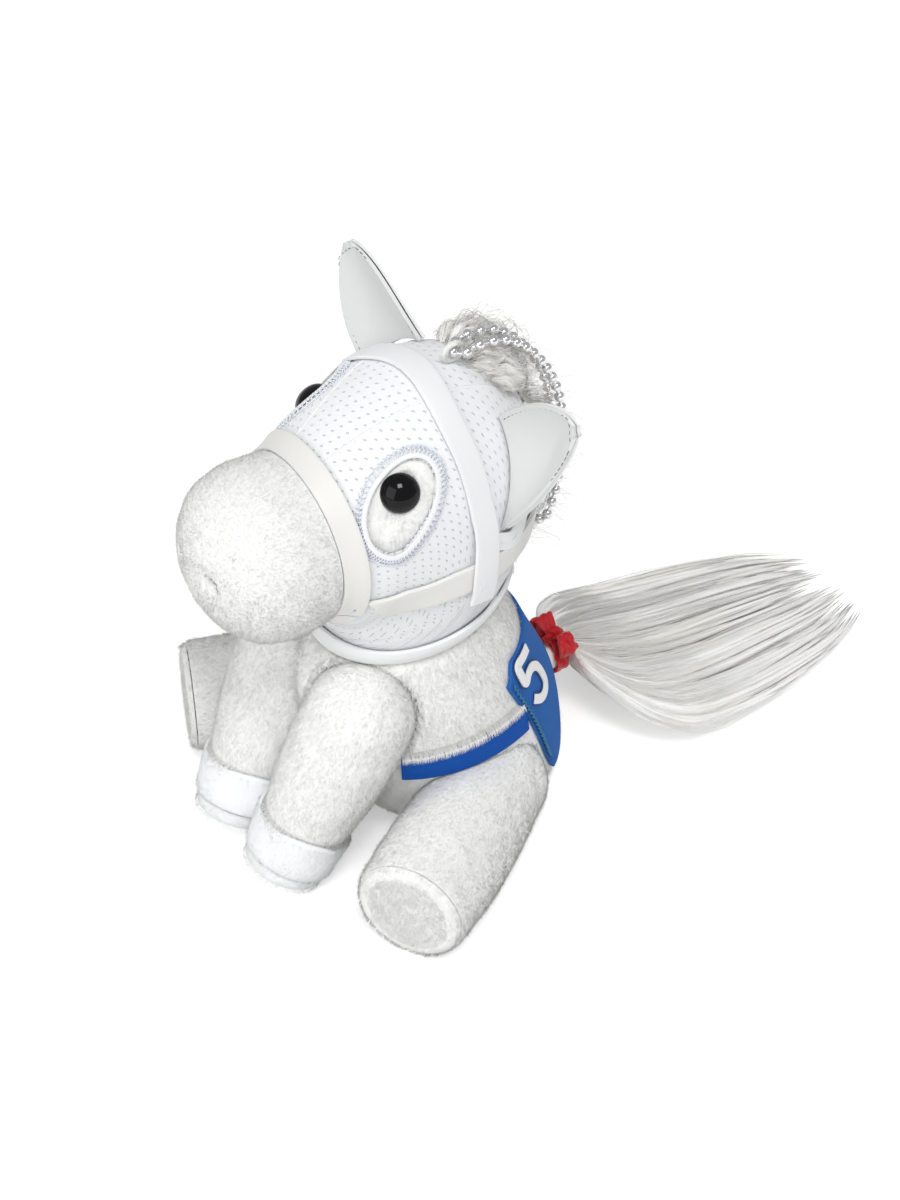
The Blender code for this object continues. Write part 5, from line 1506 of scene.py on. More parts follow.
@dataclass
class Hood:
    """The mesh hood: three panels, their seams, the eye rims and the hem."""

    first: float = 1.07
    nape: float = 4.9
    last: float = 6.95
    hem_width: float = 4.6 * MM
    hem_thickness: float = 1.0 * MM
    seam_gap: float = 0.006
    rim_steps: int = 420
    rim_ribs: int = 84
    rim_stitches: int = 132
    stitch_reach: float = 2.15 * MM

    @staticmethod
    def seam(level: Array) -> Array:
        """Return the angle of the seam beside the middle panel."""
        return lerp(16.0 * DEG, 24.0 * DEG, ease((level - 1.0) / 2.0))

    def middle(self) -> None:
        """Make the panel over the forehead and the crown."""
        def place(u: Array, v: Array, out: float) -> Array:
            level = lerp(self.first, self.nape, v)
            return HEAD.at(level, (2.0 * u - 1.0) * (self.seam(level) - self.seam_gap),
                           out)[0]
        obj = panel("hood_panel_center", 36, 110, place, HOOD_IN, MESH_CLOTH, 0.12 * MM)
        settle(obj, MESH, Slot.MESH, "hood_center")
        lay_sheet(place, HOOD_IN)

    def cheek(self, side: Side) -> None:
        """Make one side panel with the opening for the eye."""
        def spot(u: Array, v: Array) -> tuple[Array, Array]:
            level = lerp(self.first, self.last, v)
            edge = self.seam(level) + self.seam_gap
            back = ease((level - self.nape) / 0.7) * (level > self.nape)
            edge = lerp(edge, np.full_like(edge, 0.014), back)
            return level, side.value * lerp(edge, math.pi - self.seam_gap, u)

        def place(u: Array, v: Array, out: float) -> Array:
            level, angle = spot(u, v)
            return HEAD.at(level, angle, out)[0]

        def hole(u: Array, v: Array) -> Array:
            return HEAD_PIECES.reach(side, *spot(u, v))
        obj = panel(f"hood_panel_{side.word}", 100, 110, place, HOOD_IN, MESH_CLOTH, 0.0,
                    hole=hole)
        settle(obj, MESH, Slot.MESH, f"hood_{side.word}")
        lay_sheet(place, HOOD_IN)

    def rim(self, side: Side) -> None:
        """Make the overlocked rim of an eye's opening and its row of stitches."""
        u = np.arange(self.rim_steps) / self.rim_steps
        route = HEAD_PIECES.opening(side)
        level, angle, _ = route(u)
        line, normal = HEAD.at(level, angle, HOOD_OUT + GAP + 0.22 * MM)
        rib = 1.0 + 0.07 * np.sin(TAU * self.rim_ribs * u)
        obj = rod(f"eye_rim_{side.word}", line, 0.62 * MM * rib, 14, loop=True, flat=0.45,
                  up=normal)
        settle(obj, WHITE_LEATHER, Slot.WHITE_LEATHER, f"hood_eye_rim_{side.word}")
        pieces = []
        middle = HEAD.at(*HEAD_PIECES.eye_place(side))[0][0]
        for k in range(self.rim_stitches):
            level, angle, _ = route(np.array([k / self.rim_stitches]))
            point, up = (a[0] for a in HEAD.at(level, angle, HOOD_OUT))
            away = point - middle
            away = unit(away - up * (away @ up))
            lean = np.cross(up, away) * 0.35 * (1 if k % 2 else -1)
            tip = point + unit(away + lean) * self.stitch_reach
            start, stop = point + away * 0.35 * MM + up * 0.72 * MM, tip + up * 0.12 * MM
            pieces.append([start, (start + stop) / 2.0 + up * 0.16 * MM, stop,
                           stop - up * 0.25 * MM])
            ring, turn = tip + up * 0.08 * MM, unit(np.cross(up, away)) * 0.62 * MM
            pieces.append([ring - turn, ring + up * 0.12 * MM, ring + turn,
                           ring + turn - up * 0.2 * MM])
        lines = np.array(pieces)
        obj = strands(f"eye_rim_thread_{side.word}", lines, np.full(lines.shape[:2], 0.11 * MM),
                      5, seed=3)
        settle(obj, THREAD_WHITE, Slot.MESH)

    def seams(self) -> None:
        """Make the folded seams beside the middle panel."""
        for side in Side:
            level = np.linspace(self.first, self.nape, 160)
            line, normal = HEAD.at(level, side.value * self.seam(level), HOOD_OUT)
            obj = rod(f"hood_seam_{side.word}", line, np.full(160, 0.36 * MM), 8, flat=0.45,
                      up=normal)
            settle(obj, MESH, Slot.MESH)

    def hem(self) -> None:
        """Make the smooth band around the hood's lower edge."""
        def place(u: Array, v: Array, out: float) -> Array:
            level = np.full_like(u, HEAD.last)
            point, _ = HEAD.at(level, TAU * u, out)
            down = unit(HEAD.base(level, TAU * u) - HEAD.base(level - 0.2, TAU * u))
            crown = 0.35 * MM * np.sin(math.pi * v)
            _, normal = HEAD.at(level, TAU * u)
            return point + down * ((v - 1.0) * self.hem_width)[:, None] + normal * crown[:, None]
        obj = panel("hood_hem_band", 200, 8, place, STRAP_IN, self.hem_thickness, 0.22 * MM,
                    closed=True)
        settle(obj, WHITE_LEATHER, Slot.WHITE_LEATHER, "hood_hem")

    def build(self) -> None:
        """Make every piece of the hood."""
        self.middle()
        for side in Side:
            self.cheek(side)
            self.rim(side)
        self.seams()
        self.hem()


@dataclass
class Straps:
    """The leatherette straps sewn over the hood."""

    nose_level: float = 0.95
    nose_width: float = 6.2 * MM
    chin_width: float = 5.4 * MM
    chin_angle: float = 126.0 * DEG
    cheek_width: float = 6.8 * MM
    crown_width: float = 5.6 * MM
    crown_level: float = 3.0
    crown_stitches: int = 64

    def strap(self, name: str, route: Route, width: float, columns: int, finish: Finish,
              slot: Slot, node: str) -> None:
        """Make one strap with rounded edges."""
        place = strip(HEAD, route, width / 2.0)
        obj = panel(name, columns, 8, place, STRAP_IN, STRAP_THICKNESS, 0.2 * MM)
        settle(obj, finish, slot, node)

    def nose(self) -> None:
        """Make the noseband, the lining that shows in front of it and the chin strap."""
        end, chin = self.chin_angle - 0.006, self.chin_angle + 0.0125
        route = ring_route(self.nose_level, -end, end)
        self.strap("noseband_strap", route, self.nose_width, 150, BEIGE_LEATHER,
                   Slot.BEIGE_LEATHER, "noseband")
        nose = strip(HEAD, route, self.nose_width / 2.0)
        first, second = strip_edges(nose)
        start, ahead = (0.0, -1.0) if first[1] < second[1] else (1.0, 1.0)

        def lining(u: Array, v: Array, out: float) -> Array:
            return nose(u, start + ahead * (0.03 + 0.11 * v), out - 0.45 * MM)
        obj = panel("noseband_lining", 150, 3, lining, STRAP_IN, 0.5 * MM, 0.1 * MM)
        settle(obj, WHITE_LEATHER, Slot.WHITE_LEATHER)
        self.strap("chin_strap_band", ring_route(self.nose_level, chin, TAU - chin),
                   self.chin_width, 50, BEIGE_LEATHER, Slot.BEIGE_LEATHER, "chin_strap")

    def cheeks(self) -> None:
        """Make the strap along each cheek."""
        shares = ((-0.375, 0.315), (-0.18, 0.335), (0.07, 0.355), (0.24, 0.37), (0.40, 0.385),
                  (0.50, 0.43))
        for side in Side:
            self.strap(f"cheek_band_{side.word}", through(HEAD.line(shares, side)),
                       self.cheek_width, 110, BEIGE_LEATHER, Slot.BEIGE_LEATHER,
                       f"cheek_strap_{side.word}")

    def crown(self) -> None:
        """Make the strap over the crown, which crosses the cheek straps."""
        upper = (((0.045, 0.94), (0.06, 0.82), (0.08, 0.66), (0.09, 0.50)),
                 ((-0.005, 0.94), (0.025, 0.83), (0.06, 0.68), (0.09, 0.52)))
        rows = [(self.crown_level, 0.0, 0.0)]
        for side in Side:
            found = HEAD.line((*side.pick(*upper), (0.08, 0.37), (0.07, 0.24)), side)
            steps = len(found) - 1
            half = [(level, angle, float(ease((k - steps + 2.7) / 1.2)) * (STRAP_THICKNESS + GAP))
                    for k, (level, angle, _) in enumerate(found)]
            rows = rows + half if side is Side.LEFT else half[::-1] + rows
        route = through(rows)
        self.strap("crown_strap_band", route, self.crown_width, 220, WHITE_LEATHER,
                   Slot.WHITE_LEATHER, "crown_strap")
        place = strip(HEAD, route, self.crown_width / 2.0)
        first, second = strip_edges(place)
        rear = -0.07 if first[1] > second[1] else 1.07
        count, lines = self.crown_stitches, []
        away = np.array([0.0, 0.12, 0.12, -0.2]) * MM
        for k in range(count):
            u = 0.06 + 0.88 * k / count + np.array([0.0, 0.003, 0.006, 0.0065])
            lines.append([place(u[i:i + 1], np.array([rear]), HOOD_OUT + away[i])[0]
                          for i in range(4)])
        obj = strands("crown_stitches", np.array(lines), np.full((count, 4), 0.09 * MM), 5,
                      seed=6)
        settle(obj, DARK_THREAD, Slot.WHITE_LEATHER)

    def tacks(self) -> None:
        """Sew the small curved tacks where the cheek straps end."""
        turn = np.linspace(-1.0, 1.0, 9)
        for side in Side:
            for name, spot, size in (("nose", (-0.365, 0.315), 2.6), ("crown", (0.070, 0.33), 2.2)):
                level, angle, _ = HEAD.line((spot,), side)[0]
                level = 1.12 if name == "nose" else level
                high = STRAP_OUT + (0.15 if name == "nose" else 1.25) * MM
                for k in range(2):
                    lift = (0.35 - 0.35 * turn ** 2 + 0.8 * k) * MM / (11.0 * MM)
                    shift = turn * size / 2.0 * MM / (22.0 * MM)
                    if name == "nose":
                        line = HEAD.at(level + lift, angle + shift, high)[0]
                    else:
                        line = HEAD.at(level + shift * 2.0, angle + lift * 0.4, high)[0]
                    obj = rod(f"{name}_tack_{side.word}_{k}", line, np.full(9, 0.13 * MM), 6)
                    settle(obj, THREAD_WHITE, Slot.WHITE_LEATHER)

    def build(self) -> None:
        """Make every strap."""
        self.nose()
        self.cheeks()
        self.crown()
        self.tacks()


@dataclass
class Ears:
    """The two leatherette ears, each a grey front on a white back."""

    length: float = 25.0 * MM
    thickness: float = 0.8 * MM
    cup: float = 3.0 * MM
    clearance: float = 0.75 * MM

    def seam(self, side: Side) -> Callable[[Array], Array]:
        """Return the line on the hood along which an ear is sewn."""
        ends = side.pick(((0.290, 0.860), (0.190, 0.500)), ((0.200, 0.985), (0.112, 0.768)))
        high = HEAD.find(*ends[0], (4.0, 45.0 * DEG))
        low = HEAD.find(*ends[1], (4.0, 70.0 * DEG))

        def line(v: Array) -> Array:
            level, angle = lerp(high[0], low[0], v), lerp(high[1], low[1], v)
            return HEAD.at(level, side.value * angle, HOOD_OUT + self.clearance)[0]
        return line

    def leaf(self, side: Side) -> tuple[Place, Array]:
        """Return the layout of an ear's front, and the way that it faces."""
        seam = self.seam(side)
        ends = seam(np.array([0.0, 1.0]))
        middle = ends.mean(axis=0)
        across = unit(ends[1] - ends[0])
        x, y, z = side.pick((0.66, 0.28, 0.72), (0.66, -0.06, 0.83))
        tip = middle + np.array([side.value * x, y, z]) * self.length
        front = unit(np.cross(across, tip - middle))
        front = front * -np.sign(front[1])

        def place(u: Array, v: Array, out: float) -> Array:
            reach = 0.975 * v
            spread = (1.0 - reach ** 2.2) ** 0.7
            span = 2.0 * u - 1.0
            base = seam(0.5 + 0.5 * span)
            centre = middle + (tip - middle) * reach[:, None]
            cup = self.cup * (span * span - 0.5) * 4.0 * reach * (1.0 - reach)
            fold = 0.25 * MM * np.sin(reach * 9.0 + span * 4.0) * reach * (1.0 - span * span)
            return (centre + (base - middle) * spread[:, None]
                    + front * (cup * spread + fold + out)[:, None])
        return place, front

    def ear(self, side: Side) -> None:
        """Make one ear."""
        body = f"ear_{side.word}"
        place, front = self.leaf(side)
        for word, low, finish, slot in (
                ("front", 0.0, GREY_LEATHER, Slot.GREY_LEATHER),
                ("back", -self.thickness - 2.0 * GAP, WHITE_LEATHER, Slot.WHITE_LEATHER)):
            obj = panel(f"ear_leaf_{word}_{side.word}", 44, 60, place, low, self.thickness,
                        0.2 * MM)
            settle(obj, finish, slot, f"ear_{word}_{side.word}", body=body)
            lay_sheet(place, low)
        lines = []
        inset = 0.06
        edge = [(inset, v) for v in np.linspace(0.04, 0.90, 26)]
        edge += [(u, 0.92) for u in np.linspace(inset, 1.0 - inset, 9)]
        edge += [(1.0 - inset, v) for v in np.linspace(0.90, 0.04, 26)]
        route = place(np.array([e[0] for e in edge]), np.array([e[1] for e in edge]),
                      self.thickness)
        fine = curve(route, np.linspace(0, len(route) - 1, 700))
        gone = np.cumsum(np.linalg.norm(np.diff(fine, axis=0), axis=1))
        total, pitch = gone[-1], 1.5 * MM
        for k in range(int(total / pitch)):
            spots = [np.searchsorted(gone, (k + s) * pitch) for s in (0.1, 0.4, 0.7)]
            a, b, c = (fine[min(s, len(fine) - 1)] for s in spots)
            lines.append([a - front * 0.05 * MM, b + front * 0.08 * MM, c + front * 0.02 * MM,
                          c - front * 0.15 * MM])
        obj = strands(f"ear_stitches_{side.word}", np.array(lines),
                      np.full((len(lines), 4), 0.10 * MM), 5, seed=4)
        settle(obj, DARK_THREAD, Slot.GREY_LEATHER, body=body)
        if side is Side.LEFT:
            self.folds(side, body)

    def folds(self, side: Side, body: str) -> None:
        """Make the folds that the leather gathers into below the ear."""
        for k, (first, middle, last) in enumerate((
                ((0.165, 0.475), (0.235, 0.47), (0.300, 0.55)),
                ((0.160, 0.445), (0.255, 0.43), (0.345, 0.56)))):
            found = HEAD.line((first, middle, last), side)

            def route(u: Array) -> Triple:
                rows = curve(found, u * 2.0)
                return rows[:, 0], rows[:, 1], (0.15 + 0.75 * np.sin(math.pi * u)) * MM
            place = strip(HEAD, route, 1.15 * MM)
            obj = panel(f"ear_fold_{k}_{side.word}", 60, 8, place, HOOD_OUT + 0.1 * MM,
                        0.5 * MM, 0.15 * MM)
            settle(obj, WHITE_LEATHER, Slot.WHITE_LEATHER, body=body)

    def build(self) -> None:
        """Make both ears."""
        for side in Side:
            self.ear(side)


@dataclass
class Hair:
    """The long hair: the tuft on the poll and the mane down the neck."""

    radius: float = 0.055 * MM
    lock_radius: float = 0.95 * MM
    loose_radius: float = 0.035 * MM
    reach: tuple = (0.25, 0.60)
    tuft_count: int = 700
    mane_count: int = 1000
    loose_count: int = 1100

    @staticmethod
    def tuft_at(v: Array, u: Array, rise: Array) -> tuple[Array, Array]:
        """Return points in the tuft, by place along, across and through it."""
        half = 11.0 * MM * (0.45 + 0.55 * np.sin(math.pi * np.clip(v, 0.0, 1.0)))
        thick = (7.0 * MM * np.sin(math.pi * np.clip(0.15 + 0.70 * v, 0.0, 1.0))
                 * np.sqrt(np.clip(1.0 - 0.9 * u * u, 0.02, 1.0)))
        return HEAD.at(3.62 + v, u * half / (24.0 * MM), MANE_IN + thick * rise)

    @staticmethod
    def mane_at(v: Array, u: Array, rise: Array) -> tuple[Array, Array]:
        """Return points in the mane, by place along, across and through it."""
        half = 21.0 * MM * (0.30 + 0.20 * np.sin(math.pi * np.minimum(v + 0.25, 1.0)))
        over = np.clip(v - 1.0, 0.0, 1.0)
        base = MANE_IN + ease((v - 0.55) / 0.3) * 1.6 * MM
        thick = 7.5 * MM * np.sqrt(np.clip(np.cos(u * 1.45), 0.02, 1.0)
                                   * np.sin(math.pi * np.clip(0.12 + 0.8 * v, 0.0, 0.9)))
        point, normal = HEAD.at(np.minimum(4.72 + 2.28 * v, HEAD.last), u * half / (24.0 * MM),
                                base + thick * rise)
        return point + row3(0.0, 0.25 * over * 22.0 * MM, -over * 22.0 * MM), normal

    def grow(self, name: str, spot: Callable, count: int, spread: float, seed: int) -> None:
        """Grow the outer hairs of the tuft or the mane over its soft inside.

        Args:
            name: The node that the hairs stand for.
            spot: Gives points and normals by place along, across and through it.
            count: How many outer hairs.
            spread: The last place along it that a hair starts from.
            seed: Spreads the hairs.
        """
        rng = np.random.default_rng(seed)
        steps = 9
        v0, u0 = rng.uniform(0.0, spread, count), rng.uniform(-1.0, 1.0, count)
        far, rise = rng.uniform(*self.reach, count), rng.uniform(0.80, 1.12, count)
        rise += np.where(rng.random(count) < 0.14, rng.uniform(0.30, 0.60, count), 0.0)
        lines, facing = np.empty((count, steps, 3)), np.empty((count, steps, 3))
        for k in range(steps):
            s = k / (steps - 1)
            lines[:, k], facing[:, k] = spot(v0 + far * s, u0 * (1.0 + 0.1 * s),
                                             rise * float(ease(s * 3.0 + 0.1)))
        obj = strands(f"{name}_hair", wavy(lines, 7.0 * MM, 0.9, seed),
                      hair_radii(self.radius, count, steps, 0.35), seed=seed, facing=facing)
        settle(obj, HAIR, Slot.HAIR, name)

        n, steps = count // 6, 12
        v0, u0 = rng.uniform(0.0, spread, n), rng.uniform(-0.92, 0.92, n)
        far, rise = rng.uniform(*self.reach, n), rng.uniform(0.35, 0.85, n)
        lines = np.stack([spot(v0 + far * s, u0, rise * float(ease(s * 3.0 + 0.1)))[0]
                          for s in np.linspace(0.0, 1.0, steps)], axis=1)
        obj = strands(f"{name}_inner_hair", lines, lock_radii(self.lock_radius, n, steps),
                      sides=8, seed=seed)
        settle(obj, HAIR_CORE, Slot.HAIR)

    def loose(self) -> None:
        """Grow the fine loose hairs that stand off the tuft and the mane."""
        rng = np.random.default_rng(61)
        n, steps = self.loose_count, 9
        level, angle = rng.uniform(3.5, 6.7, n), rng.uniform(-0.42, 0.42, n)
        root, normal = HEAD.at(level, angle, MANE_IN + rng.uniform(0.5, 3.0, n) * MM)
        way = unit(normal * rng.uniform(0.3, 1.0, n)[:, None] + rng.normal(size=(n, 3)) * 0.35
                   + row3(rng.uniform(-0.1, 0.5, n), 0.75, -0.15))
        size = rng.uniform(5.0, 20.0, n) * MM
        share = np.linspace(0.0, 1.0, steps)
        bend = rng.normal(size=(n, 3)) * 0.35 + np.array([0.0, 0.1, -0.45])
        lines = (root[:, None] + way[:, None] * (size[:, None] * share)[:, :, None]
                 + bend[:, None] * (size[:, None] * share ** 2)[:, :, None])
        lines[:, :, 2] = np.maximum(lines[:, :, 2], 12.0 * MM)
        obj = strands("loose_mane_hair", lines, hair_radii(self.loose_radius, n, steps, 0.4),
                      seed=62)
        settle(obj, HAIR, Slot.HAIR)

    def build(self) -> None:
        """Make the head's long hair."""
        self.grow("poll_tuft", self.tuft_at, self.tuft_count, 0.8, 31)
        self.grow("neck_mane", self.mane_at, self.mane_count, 0.86, 41)
        self.loose()


@dataclass
class Chain:
    """The ball chain, doubled on its cord loop, with its connector."""

    ball_radius: float = 1.2 * MM
    pitch: float = 3.3 * MM
    wire: float = 0.4 * MM
    spread: float = 2.3 * MM
    loop_radius: float = 2.3 * MM
    loop_cord: float = 0.65 * MM
    top: float = 3.45
    bend: float = 5.35
    end: float = 6.35
    angle: float = 9.0 * DEG
    connector_length: float = 5.0 * MM
    connector_radius: float = 1.5 * MM

    @property
    def height(self) -> float:
        """Return the height of the chain over the head."""
        return MANE_OUT + self.ball_radius + GAP

    def spine(self, level: Array, out: Array) -> Array:
        """Return points of the line that the doubled chain follows."""
        return HEAD.at(level, self.angle, out)[0]

    def run(self, name: str, route: Array, body: str, node: str) -> None:
        """Make the balls and the wire of one run along a route."""
        gone = np.concatenate([[0.0], np.cumsum(np.linalg.norm(np.diff(route, axis=0), axis=1))])
        total = gone[-1]
        count = max(1, int((total - 2.0 * self.ball_radius) / self.pitch) + 1)
        spare = (total - (count - 1) * self.pitch) / 2.0

        def walk(distance: Array) -> Array:
            return np.stack([np.interp(distance, gone, route[:, i]) for i in range(3)], axis=1)
        fine = walk(np.linspace(0.0, total, 160))
        pieces = [rod(f"{name}_wire", fine, np.full(160, self.wire), 8)]
        for k, middle in enumerate(walk(spare + self.pitch * np.arange(count))):
            pieces.append(ball(f"{name}_ball_{k}", 18, 12,
                               lambda flat: middle + flat * self.ball_radius))
        settle(join(pieces, name), STEEL, Slot.METAL, node, body=body)

    def build(self) -> None:
        """Make the loop, both runs and the connector, as the frame has them."""
        side = np.array([1.0, 0.0, 0.0])
        reach = self.loop_radius + self.loop_cord
        anchor = self.spine(self.top, MANE_IN + reach)[0]
        normal = HEAD.at(self.top, self.angle)[1][0]
        ahead = np.cross(side, normal)
        turn = (TAU * np.arange(48) / 48)[:, None]
        ring = anchor + (normal * np.cos(turn) + ahead * np.sin(turn)) * self.loop_radius
        obj = rod("chain_cord_loop", ring, np.full(48, self.loop_cord), 12, loop=True)
        settle(obj, CORD, Slot.CORD, "chain_loop")

        samples = 24
        strand = [anchor]
        for k in range(1, samples + 1):
            level = lerp(self.top, self.bend, k / samples)
            share = float(ease(k / samples * 4.0))
            point = self.spine(level, self.height)[0]
            strand.append(lerp(anchor, point, share))
        strand = np.array(strand)
        arc = np.linspace(0.0, math.pi, 9)[:, None]
        over = (anchor + side * self.spread * np.cos(arc)
                + unit(strand[4] - anchor) * self.spread * (1.0 - np.sin(arc)))
        far = strand[np.linalg.norm(strand - anchor, axis=1) > self.spread * 1.3]
        far[-1] -= unit(far[-1] - far[-2]) * GAP
        offset = side * self.spread
        self.run("ball_run_upper", np.concatenate([far[::-1] + offset, over, far - offset]),
                 "chain_upper", "ball_chain_upper")

        tail = np.array([self.spine(lerp(self.bend, self.end, k / samples),
                                    self.height + float(ease(k / samples)) * 1.0 * MM)[0]
                         for k in range(samples + 1)])
        first = unit(tail[1] - tail[0])
        start = tail[0] + first * 2.0 * GAP
        cap = start + first * self.connector_length
        away = np.linalg.norm(tail - start, axis=1)
        left = np.concatenate([[cap + first * GAP],
                               tail[away > self.connector_length + 3.0 * GAP]])
        right = np.concatenate([[tail[0] + first * GAP],
                                tail[np.linalg.norm(tail - tail[0], axis=1) > 3.0 * GAP]])
        last = unit(tail[-1] - tail[-2])
        arc = np.linspace(0.0, math.pi, 9)[1:-1, None]
        bottom = tail[-1] + offset * np.cos(arc) + last * self.spread * np.sin(arc)
        self.run("ball_run_lower",
                 np.concatenate([left + offset, bottom, right[::-1] - offset]),
                 "chain_lower", "ball_chain_lower")
        self.connector(start + offset, first)

    def connector(self, start: Array, way: Array) -> None:
        """Make the connector: a waisted barrel with rolled ends."""
        share = np.linspace(0.0, 1.0, 40)
        line = start + way * (share * self.connector_length)[:, None]
        lip = np.exp(-((share - 0.07) / 0.05) ** 2) + np.exp(-((share - 0.93) / 0.05) ** 2)
        radii = self.connector_radius * (0.86 + 0.14 * lip)
        radii[[0, -1]] = 0.2 * self.connector_radius
        radii[[1, -2]] = 0.78 * self.connector_radius
        obj = rod("chain_connector_barrel", line, radii, 24)
        settle(obj, STEEL, Slot.METAL, "chain_connector", body="chain_lower")


@dataclass
class NumberCloth:
    """The number cloth with its numerals and stitching, and the girth."""

    angle: float = 67.0 * DEG
    low_angle: float = 62.0 * DEG
    top: float = 2.45
    notch: float = 0.2
    back: float = 4.15
    tip: float = 6.2
    tip_angle: float = 61.0 * DEG
    girth_side: float = 3.98
    girth_chest: float = 4.12
    girth_end: float = 129.0 * DEG
    girth_width: float = 7.2 * MM
    numeral_level: float = 3.27
    numeral_angle: float = 50.5 * DEG
    numeral_height: float = 15.0 * MM
    numeral_width: float = 7.8 * MM
    numeral_stroke: float = 2.2 * MM
    figure: tuple = (
        (0.46, 0.46), (0.05, 0.46), (-0.32, 0.46), (-0.42, 0.40), (-0.44, 0.24),
        (-0.44, 0.09), (-0.35, 0.05), (-0.10, 0.12), (0.18, 0.11), (0.40, 0.00),
        (0.46, -0.18), (0.38, -0.37), (0.12, -0.47), (-0.18, -0.46), (-0.44, -0.34))

    def edges(self, angle: Array) -> tuple[Array, Array]:
        """Return the cloth's upper and lower levels at angles from the spine."""
        away = np.abs(angle)
        share = away / self.tip_angle
        low = lerp(self.back, self.tip, ease(share * share))
        past = np.maximum(0.0, away - self.tip_angle) / (self.angle - self.tip_angle)
        top = self.top * (1.0 + self.notch * ease((away / self.angle - 0.84) / 0.16))
        return top, low - past * past * 0.8

    def lay(self, u: Array, v: Array, out: float) -> Array:
        """Return points of the cloth: u runs from right to left and v down."""
        angle = lerp(-self.angle, self.angle, u)
        top, low = self.edges(angle)
        return BODY.at(lerp(top, low, v), angle * lerp(1.0, self.low_angle / self.angle, v),
                       out)[0]

    def cloth(self) -> None:
        """Make the cloth over the back."""
        obj = panel("racing_number_cloth", 150, 56, self.lay, CLOTH_IN, CLOTH_THICKNESS,
                    0.22 * MM)
        settle(obj, BLUE, Slot.BLUE, "number_cloth")
        lay_sheet(self.lay, CLOTH_IN + CLOTH_THICKNESS / 2.0)

    def numerals(self) -> None:
        """Make the flocked numeral on each side."""
        for side in Side:
            sign = side.value
            spot = self.numeral_level, sign * self.numeral_angle
            per_level, per_turn = BODY.paces(*spot, 0.5)[0], BODY.paces(*spot)[1]

            def route(u: Array) -> Triple:
                rows = curve(self.figure, u * (len(self.figure) - 1))
                level = self.numeral_level - rows[:, 1] * self.numeral_height / per_level
                angle = self.numeral_angle - sign * rows[:, 0] * self.numeral_width / per_turn
                return level, sign * angle, np.zeros_like(u)
            place = strip(BODY, route, self.numeral_stroke / 2.0)
            obj = panel(f"number_five_{side.word}", 150, 4, place, CLOTH_OUT + GAP, 0.4 * MM,
                        0.12 * MM)
            settle(obj, NUMERAL, Slot.NUMERAL, f"numeral_{side.word}")
            ground = strip(BODY, route, self.numeral_stroke / 2.0 + 0.45 * MM)
            obj = panel(f"number_outline_{side.word}", 150, 4, ground, CLOTH_OUT + 0.04 * MM,
                        0.2 * MM)
            settle(obj, OUTLINE, Slot.NUMERAL)

    def stitching(self) -> None:
        """Sew the zigzag along each front edge of the cloth."""
        count = 34
        for side in Side:
            spots = []
            for k in range(count + 1):
                v = lerp(0.04, 0.86, k / count)
                angle = self.angle - (2.2 + 0.75 * (-1.0) ** k) * DEG
                top, low = self.edges(np.array([angle]))
                wide = angle * lerp(1.0, self.low_angle / self.angle, v)
                spots.append(BODY.at(lerp(top, low, v), side.value * wide,
                                     CLOTH_OUT + GAP + 0.2 * MM)[0][0])
            spots = np.array(spots)
            lines = []
            for a, b in zip(spots, spots[1:]):
                up = unit(a - BODY.centre(np.array([4.0]))[0])
                lines.append([a - up * 0.25 * MM, lerp(a, b, 0.12), lerp(a, b, 0.88),
                              b - up * 0.25 * MM])
            obj = strands(f"edge_stitching_{side.word}", np.array(lines),
                          np.full((count, 4), 0.24 * MM), 6, seed=5)
            settle(obj, TEAL, Slot.THREAD, f"stitches_{side.word}")

    def girth(self) -> None:
        """Make the girth on each side of the chest."""
        for side in Side:
            def route(u: Array) -> Triple:
                angle = lerp(self.angle - 1.7 * DEG, self.girth_end, u)
                return (lerp(self.girth_side, self.girth_chest, ease(u)), side.value * angle,
                        np.zeros_like(u))
            place = strip(BODY, route, self.girth_width / 2.0)
            obj = panel(f"girth_band_{side.word}", 70, 10, place, CLOTH_IN, CLOTH_THICKNESS,
                        0.2 * MM)
            settle(obj, GIRTH, Slot.GIRTH, f"girth_{side.word}")
            first, second = strip_edges(place)
            upper = 0.0 if first[2] > second[2] else 1.0

            def edge(share: Array, onto: Array, out: Array) -> Array:
                away = onto / self.girth_width * (1.0 - 2.0 * upper)
                return place(np.clip(share, 0.01, 0.99), upper + away * np.ones_like(share), out)
            obj = fringe(f"girth_fringe_{side.word}", edge, 1300, CLOTH_OUT, 75)
            settle(obj, PILE, Slot.PLUSH)

    def build(self) -> None:
        """Make every piece of the cloth and girth."""
        self.cloth()
        self.numerals()
        self.stitching()
        self.girth()


HEAD_PIECES = Head()
CLOTH = NumberCloth()


